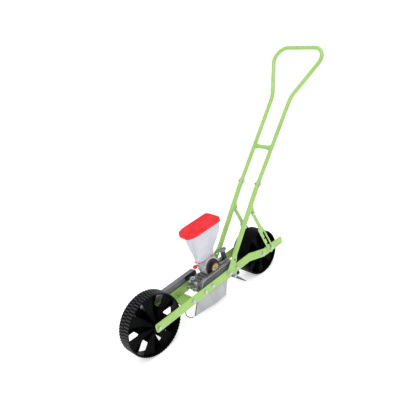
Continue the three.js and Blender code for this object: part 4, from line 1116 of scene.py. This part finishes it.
def make_guard():
    refined("chain_guard", GUARD, 0.9 * MM, 3)
    low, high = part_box("chain_guard")
    bm = bmesh.new()
    half, sunk = 0.9 * MM, 0.4 * MM
    for i in range(5):
        x = mixed(low.x + 3 * MM, high.x - 3 * MM, i / 4)
        block(bm, (x - half, low.y + 34 * MM, high.z - sunk), (x + half, high.y - 16 * MM, high.z + half))
    for i in range(6):
        z = mixed(low.z + 16 * MM, high.z - 14 * MM, i / 5)
        block(bm, (low.x - half, low.y + 26 * MM, z - half), (low.x + sunk, high.y - 12 * MM, z + half))
    put("chain_guard_ridges", bm, GUARD, "frame", bevel=0.4 * MM)


def make_lever():
    centre = LEVER
    outline = []
    for rise, radius, first in ((0, 8.5 * MM, math.pi), (50 * MM, 8 * MM, 0)):
        for k in range(17):
            angle = first + math.pi * k / 16
            outline.append((centre.y + radius * math.cos(angle), centre.z + rise + radius * math.sin(angle)))
    bm = bmesh.new()
    prism_x(bm, outline, centre.x - 9 * MM, centre.x + 9 * MM)
    stand_in("lever", bm, DARK_CAST, 1.6 * MM, 3)
    bm = bmesh.new()
    block(bm, centre + Vector((-11, -11, 57)) * MM, centre + Vector((11, 11, 66)) * MM)
    block(bm, centre + Vector((-6, 8, 58.5)) * MM, centre + Vector((6, 13, 65)) * MM)
    put("lever_clamp", bm, CAST, "lever", (), 1.2 * MM, 3)
    bm = bmesh.new()
    bolt_end(bm, centre + Vector((0, 12.5, 62)) * MM, (0, 1, 0), head=5 * MM)
    put("lever_clamp_bolt", bm, ZINC, "lever", bevel=0.25 * MM)
    refined("lever_pin", ZINC, 0.25 * MM)


# ---------------------------------------------------------------- soil tools
def make_soil_tools():
    refined("furrow_opener", SHEET, 0.5 * MM)
    bm = bmesh.new()
    tip, top = at(0, 221.6, 17), at(0, 274.6, 117.5)
    back = Vector((0, 4.5 * MM, 0))
    rings = []
    for point in (tip, top):
        rings.append([
            point + Vector((0, -0.8 * MM, 0)), point + Vector((2.0 * MM, 1.2 * MM, 0)),
            point + Vector((2.2 * MM, 0, 0)) + back, point + Vector((-2.2 * MM, 0, 0)) + back,
            point + Vector((-2.0 * MM, 1.2 * MM, 0)),
        ])
    loft(bm, rings)
    put("opener_edge", bm, DARK_STEEL, "opener", bevel=0.3 * MM)
    refined("depth_bolt", ZINC, 0.25 * MM)
    points = [(190, 118.4), (186, 92), (180, 70), (182, 49), (192, 34), (203, 23), (214, 18)]
    path = spline([at(0, y, z) for y, z in points], 8)
    bm = bmesh.new()
    sweep(bm, path, 2 * MM, 20)
    stand_in("wire_guard", bm, CHAIN, sharp=60)
    for side in ("left", "right"):
        refined(f"cover_bracket_{side}", SHEET, 0.5 * MM)
        refined(f"cover_tine_{side}", DARK_STEEL, 0.4 * MM)
        knob(side)
    refined("cover_bar", ZINC, 0.4 * MM)


def spline(points, steps):
    """A smooth line through points."""
    found = []
    for i in range(len(points) - 1):
        p0 = points[max(i - 1, 0)]
        p1, p2 = points[i], points[i + 1]
        p3 = points[min(i + 2, len(points) - 1)]
        for k in range(steps):
            t = k / steps
            found.append(0.5 * (
                2 * p1 + (p2 - p0) * t + (2 * p0 - 5 * p1 + 4 * p2 - p3) * t * t
                + (3 * p1 - p0 - 3 * p2 + p3) * t ** 3
            ))
    return found + [points[-1]]


def knob(side):
    node = f"tine_knob_{side}"
    low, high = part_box(node)
    centre = middle(node)
    base = Vector((centre.x, low.y, centre.z))
    length = (high.y - low.y) / MM
    bm = bmesh.new()
    profile = [(0, 0.5), (0, 7.5), (2, 9.5), (4.5, 11.2)]
    profile += [(length - 3.5, 11.2), (length - 0.8, 9), (length, 7), (length, 0.5)]
    lathe(bm, base, (0, 1, 0), profile, 48)
    for i in range(12):
        angle = 2 * math.pi * i / 12
        out = Vector((math.cos(angle), 0, math.sin(angle)))
        start = base + out * 10.9 * MM
        rod(bm, start + Vector((0, 4.6 * MM, 0)), start + Vector((0, (length - 3.6) * MM, 0)), 1.4 * MM, 12)
    stand_in(node, bm, BLACK, 0.3 * MM, sharp=45)


# ---------------------------------------------------------------- flat steel parts and the rest
def make_frame():
    for side in ("left", "right"):
        refined(f"rail_{side}", PAINT, 0.8 * MM, 3)
        refined(f"brace_{side}", PAINT, 0.6 * MM, 3)
        refined(f"front_axle_bush_{side}", WHITE, 0.4 * MM)
    refined("cross_plate", PAINT, 0.9 * MM, 3)
    refined("seed_chute", WHITE, 0.6 * MM)
    refined("layshaft_bush", WHITE, 0.4 * MM)
    for node in ("front_axle", "layshaft", "idler_sprocket"):
        refined(node, ZINC, 0.3 * MM)
    refined("seed_brush", BRISTLE, 0.3 * MM)


# ---------------------------------------------------------------- stage, light and camera
def make_stage():
    bm = bmesh.new()
    bmesh.ops.create_grid(bm, x_segments=1, y_segments=1, size=70)
    floor = linked("floor", mesh_of(bm, "floor"))
    m = Nodes("pale_floor").set(Metallic=0.0, Specular_IOR_Level=0.2)
    m.colour(m.mixed(m.patches(3, 2, 0.4, 0.6), (0.94, 0.94, 0.94), (0.96, 0.96, 0.96)))
    m.roughness(m.mapped(m.noise(5, 2), 0.4, 0.6, 0.75, 0.85))
    m.set(Emission_Color=(1, 1, 1, 1), Emission_Strength=0.42)
    floor.data.materials.append(m.material)


def area_light(name, place, target, size, power):
    data = bpy.data.lights.new(name, "AREA")
    data.shape = "DISK"
    data.size = size
    data.energy = power
    light = linked(name, data)
    light.location = place
    light.rotation_euler = (Vector(target) - Vector(place)).to_track_quat("-Z", "Y").to_euler()


HORIZON = 0.35
ZENITH = 0.8


def make_light():
    world = bpy.data.worlds.new("studio")
    world.use_nodes = True
    tree = world.node_tree
    direction = tree.nodes.new("ShaderNodeTexCoord").outputs["Generated"]
    parts = tree.nodes.new("ShaderNodeSeparateXYZ")
    rise = tree.nodes.new("ShaderNodeMapRange")
    rise.interpolation_type = "SMOOTHSTEP"
    for socket, setting in zip(MAP_SOCKETS, (0.0, 0.6, HORIZON, ZENITH)):
        rise.inputs[socket].default_value = setting
    tree.links.new(direction, parts.inputs[0])
    tree.links.new(parts.outputs["Z"], rise.inputs["Value"])
    tree.links.new(rise.outputs["Result"], tree.nodes["Background"].inputs["Strength"])
    tree.nodes["Background"].inputs["Color"].default_value = (0.98, 0.985, 1.0, 1)
    bpy.context.scene.world = world
    area_light("key", (2.2, -1.6, 3.2), (0, 0, 0.4), 2.6, 35)
    area_light("fill", (-2.6, -2.0, 2.0), (0, 0, 0.4), 2.4, 10)
    area_light("top", (0.2, 0.6, 3.4), (0, 0, 0.4), 2.2, 26)
    bpy.context.scene.view_settings.view_transform = "Standard"


# The camera stands in the front wheel's frame: its axle is the origin of the y values.
CAMERA_PLACE = Vector((1657.57, -906.30, 1529.33)) * MM
CAMERA_AZIMUTH = 50.925
CAMERA_ELEVATION = 26.581
CAMERA_ROLL = -13.279
CAMERA_LENS = 47.586


def make_camera():
    azimuth, elevation, roll = (math.radians(a) for a in (CAMERA_AZIMUTH, CAMERA_ELEVATION, CAMERA_ROLL))
    level = math.cos(elevation)
    back = Vector((math.sin(azimuth) * level, -math.cos(azimuth) * level, math.sin(elevation)))
    right = (-back).cross(Vector((0, 0, 1))).normalized()
    up = right.cross(-back)
    across = right * math.cos(roll) + up * math.sin(roll)
    upward = up * math.cos(roll) - right * math.sin(roll)
    turn = Matrix((across, upward, back)).transposed().to_4x4()
    data = bpy.data.cameras.new("camera")
    data.lens = CAMERA_LENS
    data.sensor_width = 36
    data.sensor_fit = "HORIZONTAL"
    camera = linked("camera", data)
    camera.matrix_world = Matrix.Translation(CAMERA_PLACE + Vector((0, ORIGIN_Y, 0))) @ turn
    bpy.context.scene.camera = camera


make_stage()
make_light()
make_camera()
make_frame()
make_front_wheel()
make_rear_wheel()
make_chain("front_chain", FRONT_CHAIN_X, FRONT, 12, LAYSHAFT, 12, 76)
make_chain("meter_chain", METER_CHAIN_X, LAYSHAFT, 20, IDLER, 9, 44)
make_handle()
make_hopper()
make_metering()
make_chain_case()
make_base()
make_guard()
make_lever()
make_soil_tools()
make_fasteners()
